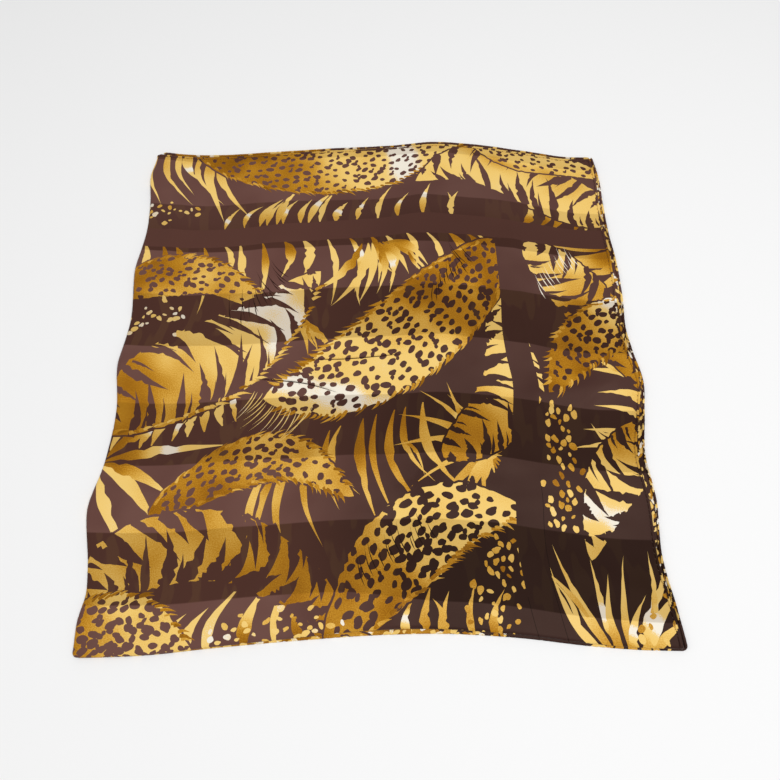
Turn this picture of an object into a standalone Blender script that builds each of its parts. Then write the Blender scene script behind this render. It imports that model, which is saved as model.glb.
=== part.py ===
"""A silk square scarf, folded twice into a packet of four layers and laid flat.

The first fold is at the near edge and the second at the left edge, so the top layer turns down over the
left and near sides, and its right and far edges end in hand-rolled hems. The lower layers share one solid,
stepped at the edges, with rolled hems of their own that stand out from under the top layer.

Metres, +X to the right, +Y away from the near fold, +Z up. The origin is on the surface that the scarf
lies on, under the centre of the packet.
"""

import math
from collections import namedtuple

import bmesh
import bpy
import numpy as np

MM = 0.001

# Driving sizes
PACKET_WIDTH = 450 * MM
PACKET_DEPTH = 458 * MM
CLOTH_WALL = 1.2 * MM  # one layer of silk with the air that it holds
PIECE_GAP = 0.3 * MM
PAIR_HEIGHT = 1.6 * MM  # the two lowest layers, one fold
SECOND_LAYER_TOP = 2.9 * MM
ROLL_RADIUS = 1.3 * MM  # of the top layer's rolled hems
LOWER_ROLL_RADIUS = 1.2 * MM

TOP_LAYER_HEIGHT = SECOND_LAYER_TOP + PIECE_GAP + CLOTH_WALL
LEFT_FOLD_REACH = 5.0 * MM  # how far in the turn at the left fold reaches
NEAR_FOLD_REACH = 3.2 * MM
NEAR_LIP = PAIR_HEIGHT + PIECE_GAP  # the upper pair's fold ends above the lower pair

# Finish
SILK_BROWN = (0.105, 0.052, 0.036, 1.0)
SILK_GOLD = (0.52, 0.30, 0.075, 1.0)
SILK_ROUGHNESS = 0.5

# How far each edge of the packet stands out from a straight line. A share runs left to right or near to far.
EdgePoint = namedtuple("EdgePoint", "share out_mm")
LEFT_EDGE = [
    EdgePoint(0.00, -1.0),
    EdgePoint(0.05, -1.0),
    EdgePoint(0.12, -0.6),
    EdgePoint(0.22, 7.4),
    EdgePoint(0.31, 0.8),
    EdgePoint(0.40, -1.0),
    EdgePoint(0.49, 4.8),
    EdgePoint(0.59, 0.6),
    EdgePoint(0.70, 4.4),
    EdgePoint(0.81, 0.4),
    EdgePoint(0.88, 2.4),
    EdgePoint(0.93, 5.4),
    EdgePoint(1.00, 2.6),
]
RIGHT_EDGE = [
    EdgePoint(0.00, 6.4),
    EdgePoint(0.06, 3.2),
    EdgePoint(0.14, -1.8),
    EdgePoint(0.24, 0.8),
    EdgePoint(0.32, -2.2),
    EdgePoint(0.40, 3.0),
    EdgePoint(0.46, 6.4),
    EdgePoint(0.52, 1.6),
    EdgePoint(0.57, -1.4),
    EdgePoint(0.64, 0.2),
    EdgePoint(0.72, -0.2),
    EdgePoint(0.80, -3.4),
    EdgePoint(0.87, -4.2),
    EdgePoint(0.93, -4.2),
    EdgePoint(1.00, -8.4),
]
NEAR_EDGE = [
    EdgePoint(0.00, 6.0),
    EdgePoint(0.06, 5.4),
    EdgePoint(0.12, 4.2),
    EdgePoint(0.22, -0.2),
    EdgePoint(0.36, -5.4),
    EdgePoint(0.51, -9.6),
    EdgePoint(0.61, -10.4),
    EdgePoint(0.73, -7.8),
    EdgePoint(0.87, -1.4),
    EdgePoint(0.94, 0.6),
    EdgePoint(1.00, 1.2),
]
FAR_EDGE = [
    EdgePoint(0.00, 3.6),
    EdgePoint(0.07, 0.0),
    EdgePoint(0.13, -0.6),
    EdgePoint(0.25, 3.2),
    EdgePoint(0.40, 8.4),
    EdgePoint(0.53, 12.0),
    EdgePoint(0.62, 16.6),
    EdgePoint(0.70, 14.2),
    EdgePoint(0.83, 4.6),
    EdgePoint(0.92, -2.8),
    EdgePoint(1.00, -3.2),
]

# What shows of the layers below the top one, along the right and the near edge
StripPoint = namedtuple("StripPoint", "share shows_mm")
RIGHT_STRIP = [
    StripPoint(0.00, 4.2),
    StripPoint(0.15, 4.6),
    StripPoint(0.32, 7.4),
    StripPoint(0.45, 4.4),
    StripPoint(0.60, 6.6),
    StripPoint(0.78, 5.4),
    StripPoint(1.00, 4.0),
]
NEAR_STRIP = [
    StripPoint(0.00, 0.4),
    StripPoint(0.15, 0.6),
    StripPoint(0.32, 1.6),
    StripPoint(0.52, 3.6),
    StripPoint(0.70, 2.4),
    StripPoint(1.00, 1.4),
]
FAR_STRIP = 4.0 * MM

# The largest soft folds: ridges, and troughs where the rise is negative. Places are from the packet's centre.
Fold = namedtuple("Fold", "start_x_mm start_y_mm end_x_mm end_y_mm half_width_mm rise_mm")
FOLDS = [
    Fold(-228, 193, -128, 180, 15, 2.6),
    Fold(-228, 87, -150, 66, 13, 2.4),
    Fold(-228, -9, -160, 4, 12, 2.6),
    Fold(-230, -132, -120, -106, 16, 3.4),
    Fold(-196, 162, -204, 40, 9, 1.6),
    Fold(228, -24, 150, -34, 13, 3.0),
    Fold(224, 60, 160, 76, 14, 2.0),
    Fold(222, 180, 130, 170, 16, 2.2),
    Fold(228, -206, 150, -180, 15, 2.6),
    Fold(54, 236, 26, 118, 20, 3.2),
    Fold(-70, 226, -96, 128, 17, 1.8),
    Fold(-112, -20, -28, -29, 7, 2.2),
    Fold(-60, 4, 60, 18, 18, 2.0),
    Fold(20, -206, 64, -98, 19, 2.6),
    Fold(-96, -206, -60, -134, 15, 1.8),
    Fold(128, 116, 140, -64, 11, 1.4),
    Fold(84, 36, 30, -84, 16, -1.2),
    Fold(-150, 146, -110, 26, 18, -1.0),
]

EDGE_FADE = 20 * MM  # the soft folds die away over this distance from the hems
HALF_WIDTH = PACKET_WIDTH / 2
HALF_DEPTH = PACKET_DEPTH / 2
BOX_CENTRE = (0.0, 0.0)  # replaced below, once the outline is known

Strip = namedtuple("Strip", "left right near far")  # a distance in from each edge of the packet


def smooth_through(points, share):
    """The value of a smooth curve through (share, value) rows, by cubic Hermite pieces."""
    rows = np.array(points, float)
    slopes = np.gradient(rows[:, 1], rows[:, 0])
    share = np.clip(share, rows[0, 0], rows[-1, 0])
    at = np.clip(np.searchsorted(rows[:, 0], share) - 1, 0, len(rows) - 2)
    span = rows[at + 1, 0] - rows[at, 0]
    t = (share - rows[at, 0]) / span
    start, end = rows[at, 1], rows[at + 1, 1]
    return (
        (1 + 2 * t) * (1 - t) ** 2 * start
        + t * (1 - t) ** 2 * span * slopes[at]
        + t * t * (3 - 2 * t) * end
        + t * t * (t - 1) * span * slopes[at + 1]
    )


def share_of(place, half):
    """Where a place lies between the two sides, from 0 to 1."""
    return np.clip((place + half) / (2 * half), 0.0, 1.0)


def left_x(y):
    """The x of the left edge at a y, before the outline is centred."""
    return -HALF_WIDTH - smooth_through(LEFT_EDGE, share_of(y, HALF_DEPTH)) * MM


def right_x(y):
    return HALF_WIDTH + smooth_through(RIGHT_EDGE, share_of(y, HALF_DEPTH)) * MM


def near_y(x):
    return -HALF_DEPTH - smooth_through(NEAR_EDGE, share_of(x, HALF_WIDTH)) * MM


def far_y(x):
    return HALF_DEPTH + smooth_through(FAR_EDGE, share_of(x, HALF_WIDTH)) * MM


def plan_point(across, along, inset):
    """x and y at shares across and along the packet, with its four edges moved in by the insets.

    An inset is a number, or a function of the place along its edge. The edges bend, so where a point
    comes depends on both shares, and a few rounds settle it.
    """
    moved = Strip(*[way if callable(way) else (lambda place, way=way: way) for way in inset])
    x = PACKET_WIDTH * (across - 0.5)
    y = PACKET_DEPTH * (along - 0.5)
    for _ in range(6):
        left, right = left_x(y) + moved.left(y), right_x(y) - moved.right(y)
        near, far = near_y(x) + moved.near(x), far_y(x) - moved.far(x)
        x = left + (right - left) * across
        y = near + (far - near) * along
    return x - BOX_CENTRE[0], y - BOX_CENTRE[1]


def find_box_centre():
    """The middle of the outline's box, so that the origin can be put under it."""
    shares = np.linspace(0, 1, 201)
    edges = [
        plan_point(0.0, shares, Strip(0, 0, 0, 0)),
        plan_point(1.0, shares, Strip(0, 0, 0, 0)),
        plan_point(shares, 0.0, Strip(0, 0, 0, 0)),
        plan_point(shares, 1.0, Strip(0, 0, 0, 0)),
    ]
    xs = np.concatenate([np.broadcast_to(x, shares.shape) for x, _ in edges])
    ys = np.concatenate([np.broadcast_to(y, shares.shape) for _, y in edges])
    return (xs.min() + xs.max()) / 2, (ys.min() + ys.max()) / 2


def soft_step(t):
    t = np.clip(t, 0.0, 1.0)
    return t * t * (3 - 2 * t)


def fold_rise(x, y):
    """How far the soft folds lift the cloth at x, y."""
    rise = np.zeros(np.broadcast(x, y).shape)
    for fold in FOLDS:
        start = np.array([fold.start_x_mm, fold.start_y_mm]) * MM
        run = np.array([fold.end_x_mm, fold.end_y_mm]) * MM - start
        length = np.hypot(*run)
        along = ((x - start[0]) * run[0] + (y - start[1]) * run[1]) / length
        aside = ((x - start[0]) * run[1] - (y - start[1]) * run[0]) / length
        width = fold.half_width_mm * MM
        # A ridge holds its height over its length and dies away softly past its two ends.
        past = np.maximum(np.maximum(-along, along - length), 0.0)
        rise = rise + fold.rise_mm * MM * np.exp(-((aside / width) ** 2 + (past / (2 * width)) ** 2))
    return rise


def cloth_rise(across, along, x, y):
    """The soft folds, faded out towards the hems on the right and far edges."""
    to_right = (1 - across) * PACKET_WIDTH
    to_far = (1 - along) * PACKET_DEPTH
    fade = soft_step(to_right / EDGE_FADE) * soft_step(to_far / EDGE_FADE)
    return np.maximum(fold_rise(x, y) * fade, 0.0)


def right_strip(y):
    """How far the top layer's hem lies in from the right outline, at a y."""
    return smooth_through(RIGHT_STRIP, share_of(y, HALF_DEPTH)) * MM


def near_strip(x):
    return smooth_through(NEAR_STRIP, share_of(x, HALF_WIDTH)) * MM


HEM_ROOM = 2 * ROLL_RADIUS + PIECE_GAP  # the top layer's cut edges stop this far inside its hems

# Angles round the turn of a fold, from where it meets the layers below up to the flat cloth
TURN = np.radians([0, 25, 50, 72, 90])
COLUMNS = 34
ROWS = 34


def turned_shares(count):
    """(angle of the turn, share of the flat cloth) for each column or row, from the fold to the hem."""
    flat = np.linspace(0, 1, count + 1)[1:]
    angles = np.concatenate([TURN, np.full(len(flat), math.pi / 2)])
    shares = np.concatenate([np.zeros(len(TURN)), flat])
    return angles, shares


def skin(depth, first_turn=0, near_foot=NEAR_LIP):
    """A grid of points on the top layer's outer skin, or that far below it. Rows run near to far."""
    column_angles, column_shares = turned_shares(COLUMNS)
    row_angles, row_shares = turned_shares(ROWS)
    across, along = np.meshgrid(column_shares[first_turn:], row_shares)
    left_turn, near_turn = np.meshgrid(column_angles[first_turn:], row_angles)
    flat_cloth = Strip(
        left=LEFT_FOLD_REACH,
        right=lambda y: right_strip(y) + HEM_ROOM,
        near=lambda x: near_strip(x) + NEAR_FOLD_REACH,
        far=FAR_STRIP + HEM_ROOM,
    )
    x, y = plan_point(across, along, flat_cloth)
    height = TOP_LAYER_HEIGHT + cloth_rise(across, along, x, y) - depth
    x = x - (LEFT_FOLD_REACH - depth) * np.cos(left_turn)
    y = y - (NEAR_FOLD_REACH - depth) * np.cos(near_turn)
    z = near_foot + (height - near_foot) * np.sin(near_turn)
    return np.stack([x, y, z * np.sin(left_turn)], axis=-1)


def mesh_object(name, vertices, faces, colour):
    """A named object with its material, from points and faces in the part's own frame."""
    mesh = bpy.data.meshes.new(name)
    mesh.from_pydata([tuple(map(float, v)) for v in vertices], [], faces)
    mesh.update()
    shell = bmesh.new()
    shell.from_mesh(mesh)
    bmesh.ops.recalc_face_normals(shell, faces=shell.faces)
    shell.to_mesh(mesh)
    shell.free()
    mesh.shade_smooth()
    mesh.set_sharp_from_angle(angle=math.radians(50))
    item = bpy.data.objects.new(name, mesh)
    bpy.context.scene.collection.objects.link(item)
    mesh.materials.append(silk(name + "_silk", colour))
    return item


def silk(name, colour):
    material = bpy.data.materials.new(name)
    material.use_nodes = True
    shader = material.node_tree.nodes["Principled BSDF"]
    shader.inputs["Base Color"].default_value = colour
    shader.inputs["Roughness"].default_value = SILK_ROUGHNESS
    shader.inputs["Metallic"].default_value = 0.0
    return material


def ring_indices(rows, columns):
    """The border of a grid of points, once round."""
    near = [(0, c) for c in range(columns)]
    right = [(r, columns - 1) for r in range(1, rows)]
    far = [(rows - 1, c) for c in range(columns - 2, -1, -1)]
    left = [(r, 0) for r in range(rows - 2, 0, -1)]
    return [r * columns + c for r, c in near + right + far + left]


def grid_triangles(rows, columns):
    """Two triangles for each cell, always cut along the same diagonal, so that two skins stay parallel."""
    faces = []
    for r in range(rows - 1):
        for c in range(columns - 1):
            a = r * columns + c
            b, d = a + 1, a + columns
            faces += [(a, b, d + 1), (a, d + 1, d)]
    return faces


def wall_between(name, upper, lower, colour):
    """A closed wall between two grids of the same size, such as the two faces of a cloth."""
    rows, columns = upper.shape[:2]
    count = rows * columns
    faces = grid_triangles(rows, columns)
    under = [tuple(count + i for i in reversed(face)) for face in faces]
    border = ring_indices(rows, columns)
    rim = []
    for here, there in zip(border, border[1:] + border[:1]):
        rim.append((there, here, here + count, there + count))
    vertices = np.concatenate([upper.reshape(-1, 3), lower.reshape(-1, 3)])
    return mesh_object(name, vertices, faces + under + rim, colour)


def make_top_layer():
    """The face of the packet: one cloth that turns down over the left and near folds."""
    outer = skin(0.0)
    inner = skin(CLOTH_WALL)
    return wall_between("top_layer", outer, inner, SILK_GOLD)


PAIR_LEFT_IN = 3.6 * MM  # the lower pair lies inside the left fold
PAIR_SIDE_POINTS = 30
PAIR_BEVEL = 0.6 * MM


def make_lower_pair():
    """The two lowest layers, as one flat slab with a rounded edge."""
    inset = Strip(PAIR_LEFT_IN, 0.0, 0.0, 0.0)
    shares = np.linspace(0, 1, PAIR_SIDE_POINTS + 1)[:-1]
    near = [plan_point(s, 0.0, inset) for s in shares]
    right = [plan_point(1.0, s, inset) for s in shares]
    far = [plan_point(1.0 - s, 1.0, inset) for s in shares]
    left = [plan_point(0.0, 1.0 - s, inset) for s in shares]
    outline = near + right + far + left
    count = len(outline)
    vertices = [(x, y, z) for z in (0.0, PAIR_HEIGHT) for x, y in outline]
    faces = [tuple(range(count - 1, -1, -1)), tuple(range(count, 2 * count))]
    for here in range(count):
        there = (here + 1) % count
        faces.append((here, there, there + count, here + count))
    pair = mesh_object("lower_pair", vertices, faces, SILK_BROWN)
    bevel = pair.modifiers.new("rounded_edge", "BEVEL")
    bevel.width = PAIR_BEVEL
    bevel.segments = 2
    bevel.limit_method = "ANGLE"
    bevel.angle_limit = math.radians(60)
    return pair


SECOND_LAYER_FOOT = 0.8 * MM  # its hidden underside is sunk into the lower pair, this far above the ground
SECOND_LEAST_WALL = 0.3 * MM
SECOND_NEAR_LIP = 1.3 * MM
SECOND_FIRST_TURN = 1  # it starts part of the way up the left turn, inside the top layer's wall
SECOND_EDGE_IN = 3.3 * MM
SECOND_EDGE_ROUND = 0.9 * MM
SECOND_EDGE_STEPS = [0.75, 1.0]  # shares of the way from under the top layer's edge to its own


def make_second_layer():
    """The layer under the top one. It follows the top layer's folds and carries its hems."""
    depth = CLOTH_WALL + PIECE_GAP
    inner = skin(depth, first_turn=SECOND_FIRST_TURN, near_foot=SECOND_NEAR_LIP)
    rows, columns = inner.shape[:2]

    # More columns and rows reach out under the hems to the layer's own edge.
    extra = len(SECOND_EDGE_STEPS)
    wide = np.zeros((rows + extra, columns + extra, 3))
    wide[:rows, :columns] = inner
    edge_x = right_x(inner[:, -1, 1] + BOX_CENTRE[1]) - BOX_CENTRE[0] - SECOND_EDGE_IN
    for step, share in enumerate(SECOND_EDGE_STEPS):
        wide[:rows, columns + step] = inner[:, -1]
        wide[:rows, columns + step, 0] += share * (edge_x - inner[:, -1, 0])
    last_row = wide[rows - 1].copy()
    edge_y = far_y(last_row[:, 0] + BOX_CENTRE[0]) - BOX_CENTRE[1] - SECOND_EDGE_IN
    for step, share in enumerate(SECOND_EDGE_STEPS):
        wide[rows + step] = last_row
        wide[rows + step, :, 1] += share * (edge_y - last_row[:, 1])
    wide[:, -1, 2] -= SECOND_EDGE_ROUND
    wide[-1, :, 2] -= SECOND_EDGE_ROUND
    wide[-1, -1, 2] += SECOND_EDGE_ROUND
    wide[..., 2] = np.maximum(wide[..., 2], SECOND_LAYER_FOOT + SECOND_LEAST_WALL)
    foot = wide.copy()
    foot[..., 2] = SECOND_LAYER_FOOT
    return wall_between("second_layer", wide, foot, SILK_BROWN)


def make_under_layers():
    """The three hidden layers as one solid, stepped at the edges."""
    layers = make_lower_pair()
    second = make_second_layer()
    layers.name = "under_layers"
    join = layers.modifiers.new("second_layer_on_it", "BOOLEAN")
    join.operation = "UNION"
    join.solver = "EXACT"
    join.object = second
    second.hide_render = True
    second.display_type = "WIRE"
    return layers


HEM_SIDES = 8
LOWER_HEM_IN = 0.3 * MM


def rolled_hem(name, path, radius, colour):
    """A rolled edge along a path of points, with a rounded tip at each end."""
    path = np.array(path, float)
    ahead = np.gradient(path, axis=0)
    ahead /= np.linalg.norm(ahead, axis=1)[:, None]
    aside = np.cross(ahead, (0.0, 0.0, 1.0))
    aside /= np.linalg.norm(aside, axis=1)[:, None]
    above = np.cross(aside, ahead)
    thickness = np.full(len(path), radius)
    thickness[[0, -1]] *= 0.5
    vertices = []
    for place, side, up, around in zip(path, aside, above, thickness):
        for k in range(HEM_SIDES):
            turn = 2 * math.pi * (k + 0.5) / HEM_SIDES
            vertices.append(place + around * (math.cos(turn) * side + math.sin(turn) * up))
    faces = [tuple(range(HEM_SIDES - 1, -1, -1))]
    last = (len(path) - 1) * HEM_SIDES
    faces.append(tuple(range(last, last + HEM_SIDES)))
    for ring in range(len(path) - 1):
        for k in range(HEM_SIDES):
            a = ring * HEM_SIDES + k
            b = ring * HEM_SIDES + (k + 1) % HEM_SIDES
            faces.append((a, b, b + HEM_SIDES, a + HEM_SIDES))
    return mesh_object(name, vertices, faces, colour)


def make_upper_hems():
    """The top layer's own rolled hems, along its right and far edges. Each follows the turn of a fold."""
    grid = skin(CLOTH_WALL - ROLL_RADIUS)  # so that a hem rests on the second layer, as the top layer does
    beside = ROLL_RADIUS + PIECE_GAP

    right = grid[:, -1] + (beside, 0.0, 0.0)
    right[:, 2] = np.maximum(right[:, 2], PAIR_HEIGHT + PIECE_GAP + ROLL_RADIUS)
    corner = right[[-1, -1]] + ((0.0, beside, 0.0), (0.0, beside + ROLL_RADIUS, 0.0))
    rolled_hem("right_hem", np.concatenate([right[[0, 2]], right[3:], corner]), ROLL_RADIUS, SILK_BROWN)

    far = grid[-1, 1:] + (0.0, beside, 0.0)
    short_of_corner = far[-1] - (ROLL_RADIUS, 0.0, 0.0)
    path = np.concatenate([far[:-1], [short_of_corner, far[-1]]])
    rolled_hem("far_hem", path, ROLL_RADIUS, SILK_BROWN)


def make_lower_hems():
    """The rolled hems of the layers below, on the step round the lower pair."""
    centre_in = LOWER_HEM_IN + LOWER_ROLL_RADIUS
    height = PAIR_HEIGHT + PIECE_GAP + LOWER_ROLL_RADIUS
    tip = 0.5 * LOWER_ROLL_RADIUS

    along = np.linspace(0, 1, ROWS + 1)
    x, y = plan_point(1.0, along, Strip(0.0, centre_in, NEAR_FOLD_REACH, LOWER_HEM_IN + tip))
    right = np.stack([x, y, np.full(len(x), height)], -1)
    near_tip, far_tip = right[0] - (0, tip, 0), right[-1] + (0, tip, 0)
    path = np.concatenate([[near_tip], right, [far_tip]])
    rolled_hem("right_hem_below", path, LOWER_ROLL_RADIUS, SILK_GOLD)

    across = np.linspace(0, 1, COLUMNS + 1)
    room = LOWER_HEM_IN + 2 * LOWER_ROLL_RADIUS + PIECE_GAP + tip
    x, y = plan_point(across, 1.0, Strip(LEFT_FOLD_REACH + tip, room, 0.0, centre_in))
    far = np.stack([x, y, np.full(len(x), height)], -1)
    left_tip, right_tip = far[0] - (tip, 0, 0), far[-1] + (tip, 0, 0)
    path = np.concatenate([[left_tip], far, [right_tip]])
    rolled_hem("far_hem_below", path, LOWER_ROLL_RADIUS, SILK_GOLD)


for leftover in list(bpy.data.objects):
    bpy.data.objects.remove(leftover)
BOX_CENTRE = find_box_centre()
make_under_layers()
make_top_layer()
make_upper_hems()
make_lower_hems()
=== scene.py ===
"""A square scarf of printed silk, folded in quarters and laid flat.

It is one cloth 0.90 m square with a rolled hem on all four sides. The first fold is at the near edge and the
second at the left edge, so four layers lie on each other. Sizes and places are in millimetres until a mesh is
made from them, with X to the right, Y away from the near fold and Z up.
"""

import math
from collections import namedtuple

import bpy
import numpy as np
from mathutils.geometry import delaunay_2d_cdt
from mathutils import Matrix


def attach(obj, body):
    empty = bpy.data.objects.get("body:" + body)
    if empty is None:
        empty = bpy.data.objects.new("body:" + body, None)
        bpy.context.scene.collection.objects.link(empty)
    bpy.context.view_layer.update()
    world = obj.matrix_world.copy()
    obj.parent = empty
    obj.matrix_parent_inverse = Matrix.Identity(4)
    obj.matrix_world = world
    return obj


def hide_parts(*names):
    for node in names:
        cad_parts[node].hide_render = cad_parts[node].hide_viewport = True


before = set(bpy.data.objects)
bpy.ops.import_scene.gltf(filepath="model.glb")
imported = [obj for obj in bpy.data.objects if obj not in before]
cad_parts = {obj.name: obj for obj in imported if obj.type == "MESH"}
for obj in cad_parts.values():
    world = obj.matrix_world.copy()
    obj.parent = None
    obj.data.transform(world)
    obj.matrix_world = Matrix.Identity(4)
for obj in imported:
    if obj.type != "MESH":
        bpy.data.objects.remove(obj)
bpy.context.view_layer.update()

# ---- Upper cloth ------------------------------------------------------------------------------------------
# The quarter of the scarf that faces up: one layer of thin printed silk. It turns under at the near fold, and
# at the left fold it turns down round all the layers, and its creases come from being folded by hand.

MM = 0.001
HALF_WIDTH = 225.0
HALF_DEPTH = 229.0
OUTLINE_CENTRE = (-0.49, 5.32)  # the middle of the bent outline, which lies on the part's origin
UPPER_HEIGHT = 4.4
UPPER_PAIR_FOOT = 1.9  # the near fold of the upper two layers comes down to here
LEFT_REACH = 5.0  # how far the round of the left fold reaches in
NEAR_REACH = 3.2
QUARTER_TURN = 1.57
UNDER_TURN = 1.2  # the angle below the left round's middle at which the near corner is fully drawn in
DRAWN_LEFT, DRAWN_NEAR = 0.8, 0.9  # by these shares of the two rounds' reach
SILK_WALL = 0.35
HEM_RADIUS = 1.25
HEM_REACH = 1.6 * HEM_RADIUS  # from where the cloth goes into its hem to the outside of the hem
FAR_STRIP = 4.0  # what shows of the lower layers beyond the upper cloth's far hem
HEM_FADE = 20.0  # the soft folds die away over this distance from the hems
LOWEST_RISE = -0.25  # no trough between them goes deeper
NEAR_LEFT, FAR_LEFT, NEAR_RIGHT, FAR_RIGHT = 4.5, 9.0, 3.6, 1.6  # radii of the packet's corners

# How far each side of the packet stands out from a straight line: (share of the side, distance out)
LEFT_SIDE = [(0, -0.4), (0.04, 0.4), (0.085, -2.6), (0.12, -0.8), (0.22, 7.2), (0.31, 0.8), (0.4, -1.0)]
LEFT_SIDE += [(0.49, 4.4), (0.59, 0.6), (0.7, 4.4), (0.81, 0.4), (0.88, 2.4), (0.93, 5.4), (1, 2.6)]
RIGHT_SIDE = [(0, 6.4), (0.06, 3.2), (0.14, -1.8), (0.24, 0.8), (0.32, -2.2), (0.4, 3.0), (0.46, 6.4)]
RIGHT_SIDE += [(0.52, 1.6), (0.57, -1.4), (0.64, 0.2), (0.72, -0.2), (0.8, -3.4), (0.87, -4.2), (0.93, -4.2)]
RIGHT_SIDE += [(1, -8.4)]
NEAR_SIDE = [(0, 6.0), (0.06, 5.4), (0.12, 4.2), (0.22, -0.2), (0.36, -5.4), (0.51, -9.6), (0.61, -10.4)]
NEAR_SIDE += [(0.73, -7.8), (0.87, -1.4), (0.94, 0.6), (1, 1.2)]
FAR_SIDE = [(0, 3.6), (0.07, 0.0), (0.13, -0.6), (0.25, 3.2), (0.4, 8.4), (0.53, 12.0), (0.62, 16.6)]
FAR_SIDE += [(0.7, 14.2), (0.83, 4.6), (0.92, -2.8), (1, -3.2)]

# What shows of the lower layers beside the upper cloth: (share of the side, width of the strip)
RIGHT_STRIP = [(0, 4.2), (0.15, 4.6), (0.32, 7.4), (0.45, 4.4), (0.6, 6.6), (0.78, 5.4), (1, 4.0)]
NEAR_STRIP = [(0, 0.4), (0.15, 0.6), (0.32, 1.6), (0.52, 3.6), (0.7, 2.4), (1, 1.4)]

# Soft folds, each a ridge or a trough between two places: (x, y, x, y, half width, rise)
Fold = namedtuple("Fold", "start_x start_y end_x end_y half_width rise")
SOFT_FOLDS = [
    Fold(-228, 193, -128, 180, 15, 2.6),
    Fold(-228, 87, -150, 66, 13, 2.4),
    Fold(-228, -9, -160, 4, 12, 2.6),
    Fold(-230, -132, -120, -106, 16, 3.4),
    Fold(-196, 162, -204, 40, 9, 1.6),
    Fold(228, -24, 150, -34, 13, 3.0),
    Fold(224, 60, 160, 76, 14, 2.0),
    Fold(222, 180, 130, 170, 16, 2.2),
    Fold(228, -206, 150, -180, 15, 2.6),
    Fold(54, 236, 26, 118, 20, 3.2),
    Fold(-70, 226, -96, 128, 17, 1.8),
    Fold(-112, -20, -28, -29, 7, 2.2),
    Fold(-60, 4, 60, 18, 18, 2.0),
    Fold(20, -206, 64, -98, 19, 2.6),
    Fold(-96, -206, -60, -134, 15, 1.8),
    Fold(128, 116, 140, -64, 11, 1.4),
    Fold(84, 36, 30, -84, 16, -1.2),
    Fold(-150, 146, -110, 26, 18, -1.0),
]
FINE_CREASES = [
    Fold(-222, 176, -168, 188, 4.0, 0.5),
    Fold(-222, 70, -176, 82, 4.0, 0.5),
    Fold(-214, 30, -206, 92, 3.5, 0.45),
    Fold(-226, -20, -176, -8, 4.0, 0.5),
    Fold(-226, -116, -150, -124, 4.0, 0.5),
    Fold(222, -10, 176, -44, 4.5, 0.6),
    Fold(218, 84, 176, 62, 4.0, 0.4),
    Fold(40, 232, 44, 160, 5.0, 0.5),
    Fold(12, -210, 40, -150, 4.5, 0.5),
    Fold(100, -214, 112, -150, 4.5, 0.4),
    Fold(128, 120, 136, -20, 3.0, 0.35),
]
# Slight waves all over the silk: (direction in degrees, length, height)
Rumple = namedtuple("Rumple", "turn pitch height")
RUMPLES = [
    Rumple(20, 31, 0.1),
    Rumple(75, 24, 0.09),
    Rumple(128, 37, 0.12),
    Rumple(160, 19, 0.05),
    Rumple(100, 15, 0.04),
]
# Two pinched creases, each a narrow groove with a low lip behind it: (places on the cloth, half width, depth)
Crease = namedtuple("Crease", "places half_width depth")
PINCHED_CREASES = [
    Crease([(-110, -19.0), (-85, -23.0), (-63, -27.5), (-50, -32.0), (-34, -38.5)], 0.75, 1.3),
    Crease([(-66, -4.0), (-28, -6.5), (-6, -5.8), (26, -4.0)], 0.65, 0.95),
]
CREASE_FADE = 16  # each dies away over this distance at its ends
LIP_AWAY, LIP_HALF_WIDTH, LIP_SHARE = 2.6, 1.9, 0.5  # the lip's place, its width and its share of the depth


def smooth_through(points, share):
    """The value of a smooth curve through (share, value) rows."""
    rows = np.array(points, float)
    slopes = np.gradient(rows[:, 1], rows[:, 0])
    share = np.clip(share, rows[0, 0], rows[-1, 0])
    at = np.clip(np.searchsorted(rows[:, 0], share) - 1, 0, len(rows) - 2)
    span = rows[at + 1, 0] - rows[at, 0]
    t = (share - rows[at, 0]) / span
    ends = (1 + 2 * t) * (1 - t) ** 2 * rows[at, 1] + t * t * (3 - 2 * t) * rows[at + 1, 1]
    leans = t * (1 - t) ** 2 * slopes[at] + t * t * (t - 1) * slopes[at + 1]
    return ends + span * leans


def share_of_depth(y):
    return (y + OUTLINE_CENTRE[1] + HALF_DEPTH) / (2 * HALF_DEPTH)


def share_of_width(x):
    return (x + OUTLINE_CENTRE[0] + HALF_WIDTH) / (2 * HALF_WIDTH)


def left_x(y):
    """The x of the packet's left side at a y."""
    return -HALF_WIDTH - smooth_through(LEFT_SIDE, share_of_depth(y)) - OUTLINE_CENTRE[0]


def right_x(y):
    return HALF_WIDTH + smooth_through(RIGHT_SIDE, share_of_depth(y)) - OUTLINE_CENTRE[0]


def near_y(x):
    return -HALF_DEPTH - smooth_through(NEAR_SIDE, share_of_width(x)) - OUTLINE_CENTRE[1]


def far_y(x):
    return HALF_DEPTH + smooth_through(FAR_SIDE, share_of_width(x)) - OUTLINE_CENTRE[1]


def on_table(u, v):
    """The x and y of places on the cloth. There u and v are straight, and here the packet's sides bend."""
    radius = np.where(u < 0, np.where(v < 0, NEAR_LEFT, FAR_LEFT), np.where(v < 0, NEAR_RIGHT, FAR_RIGHT))
    aside = np.clip(1 - (HALF_WIDTH - np.abs(u)) / radius, 0, 1)
    ahead = np.clip(1 - (HALF_DEPTH - np.abs(v)) / radius, 0, 1)
    u = u - np.sign(u) * radius * aside * (1 - np.sqrt(1 - ahead**2 / 2))
    v = v - np.sign(v) * radius * ahead * (1 - np.sqrt(1 - aside**2 / 2))
    x, y = u, v
    for _ in range(5):
        left, right = left_x(y), right_x(y)
        near, far = near_y(x), far_y(x)
        x = left + (right - left) * (u + HALF_WIDTH) / (2 * HALF_WIDTH)
        y = near + (far - near) * (v + HALF_DEPTH) / (2 * HALF_DEPTH)
    return x, y


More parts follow.
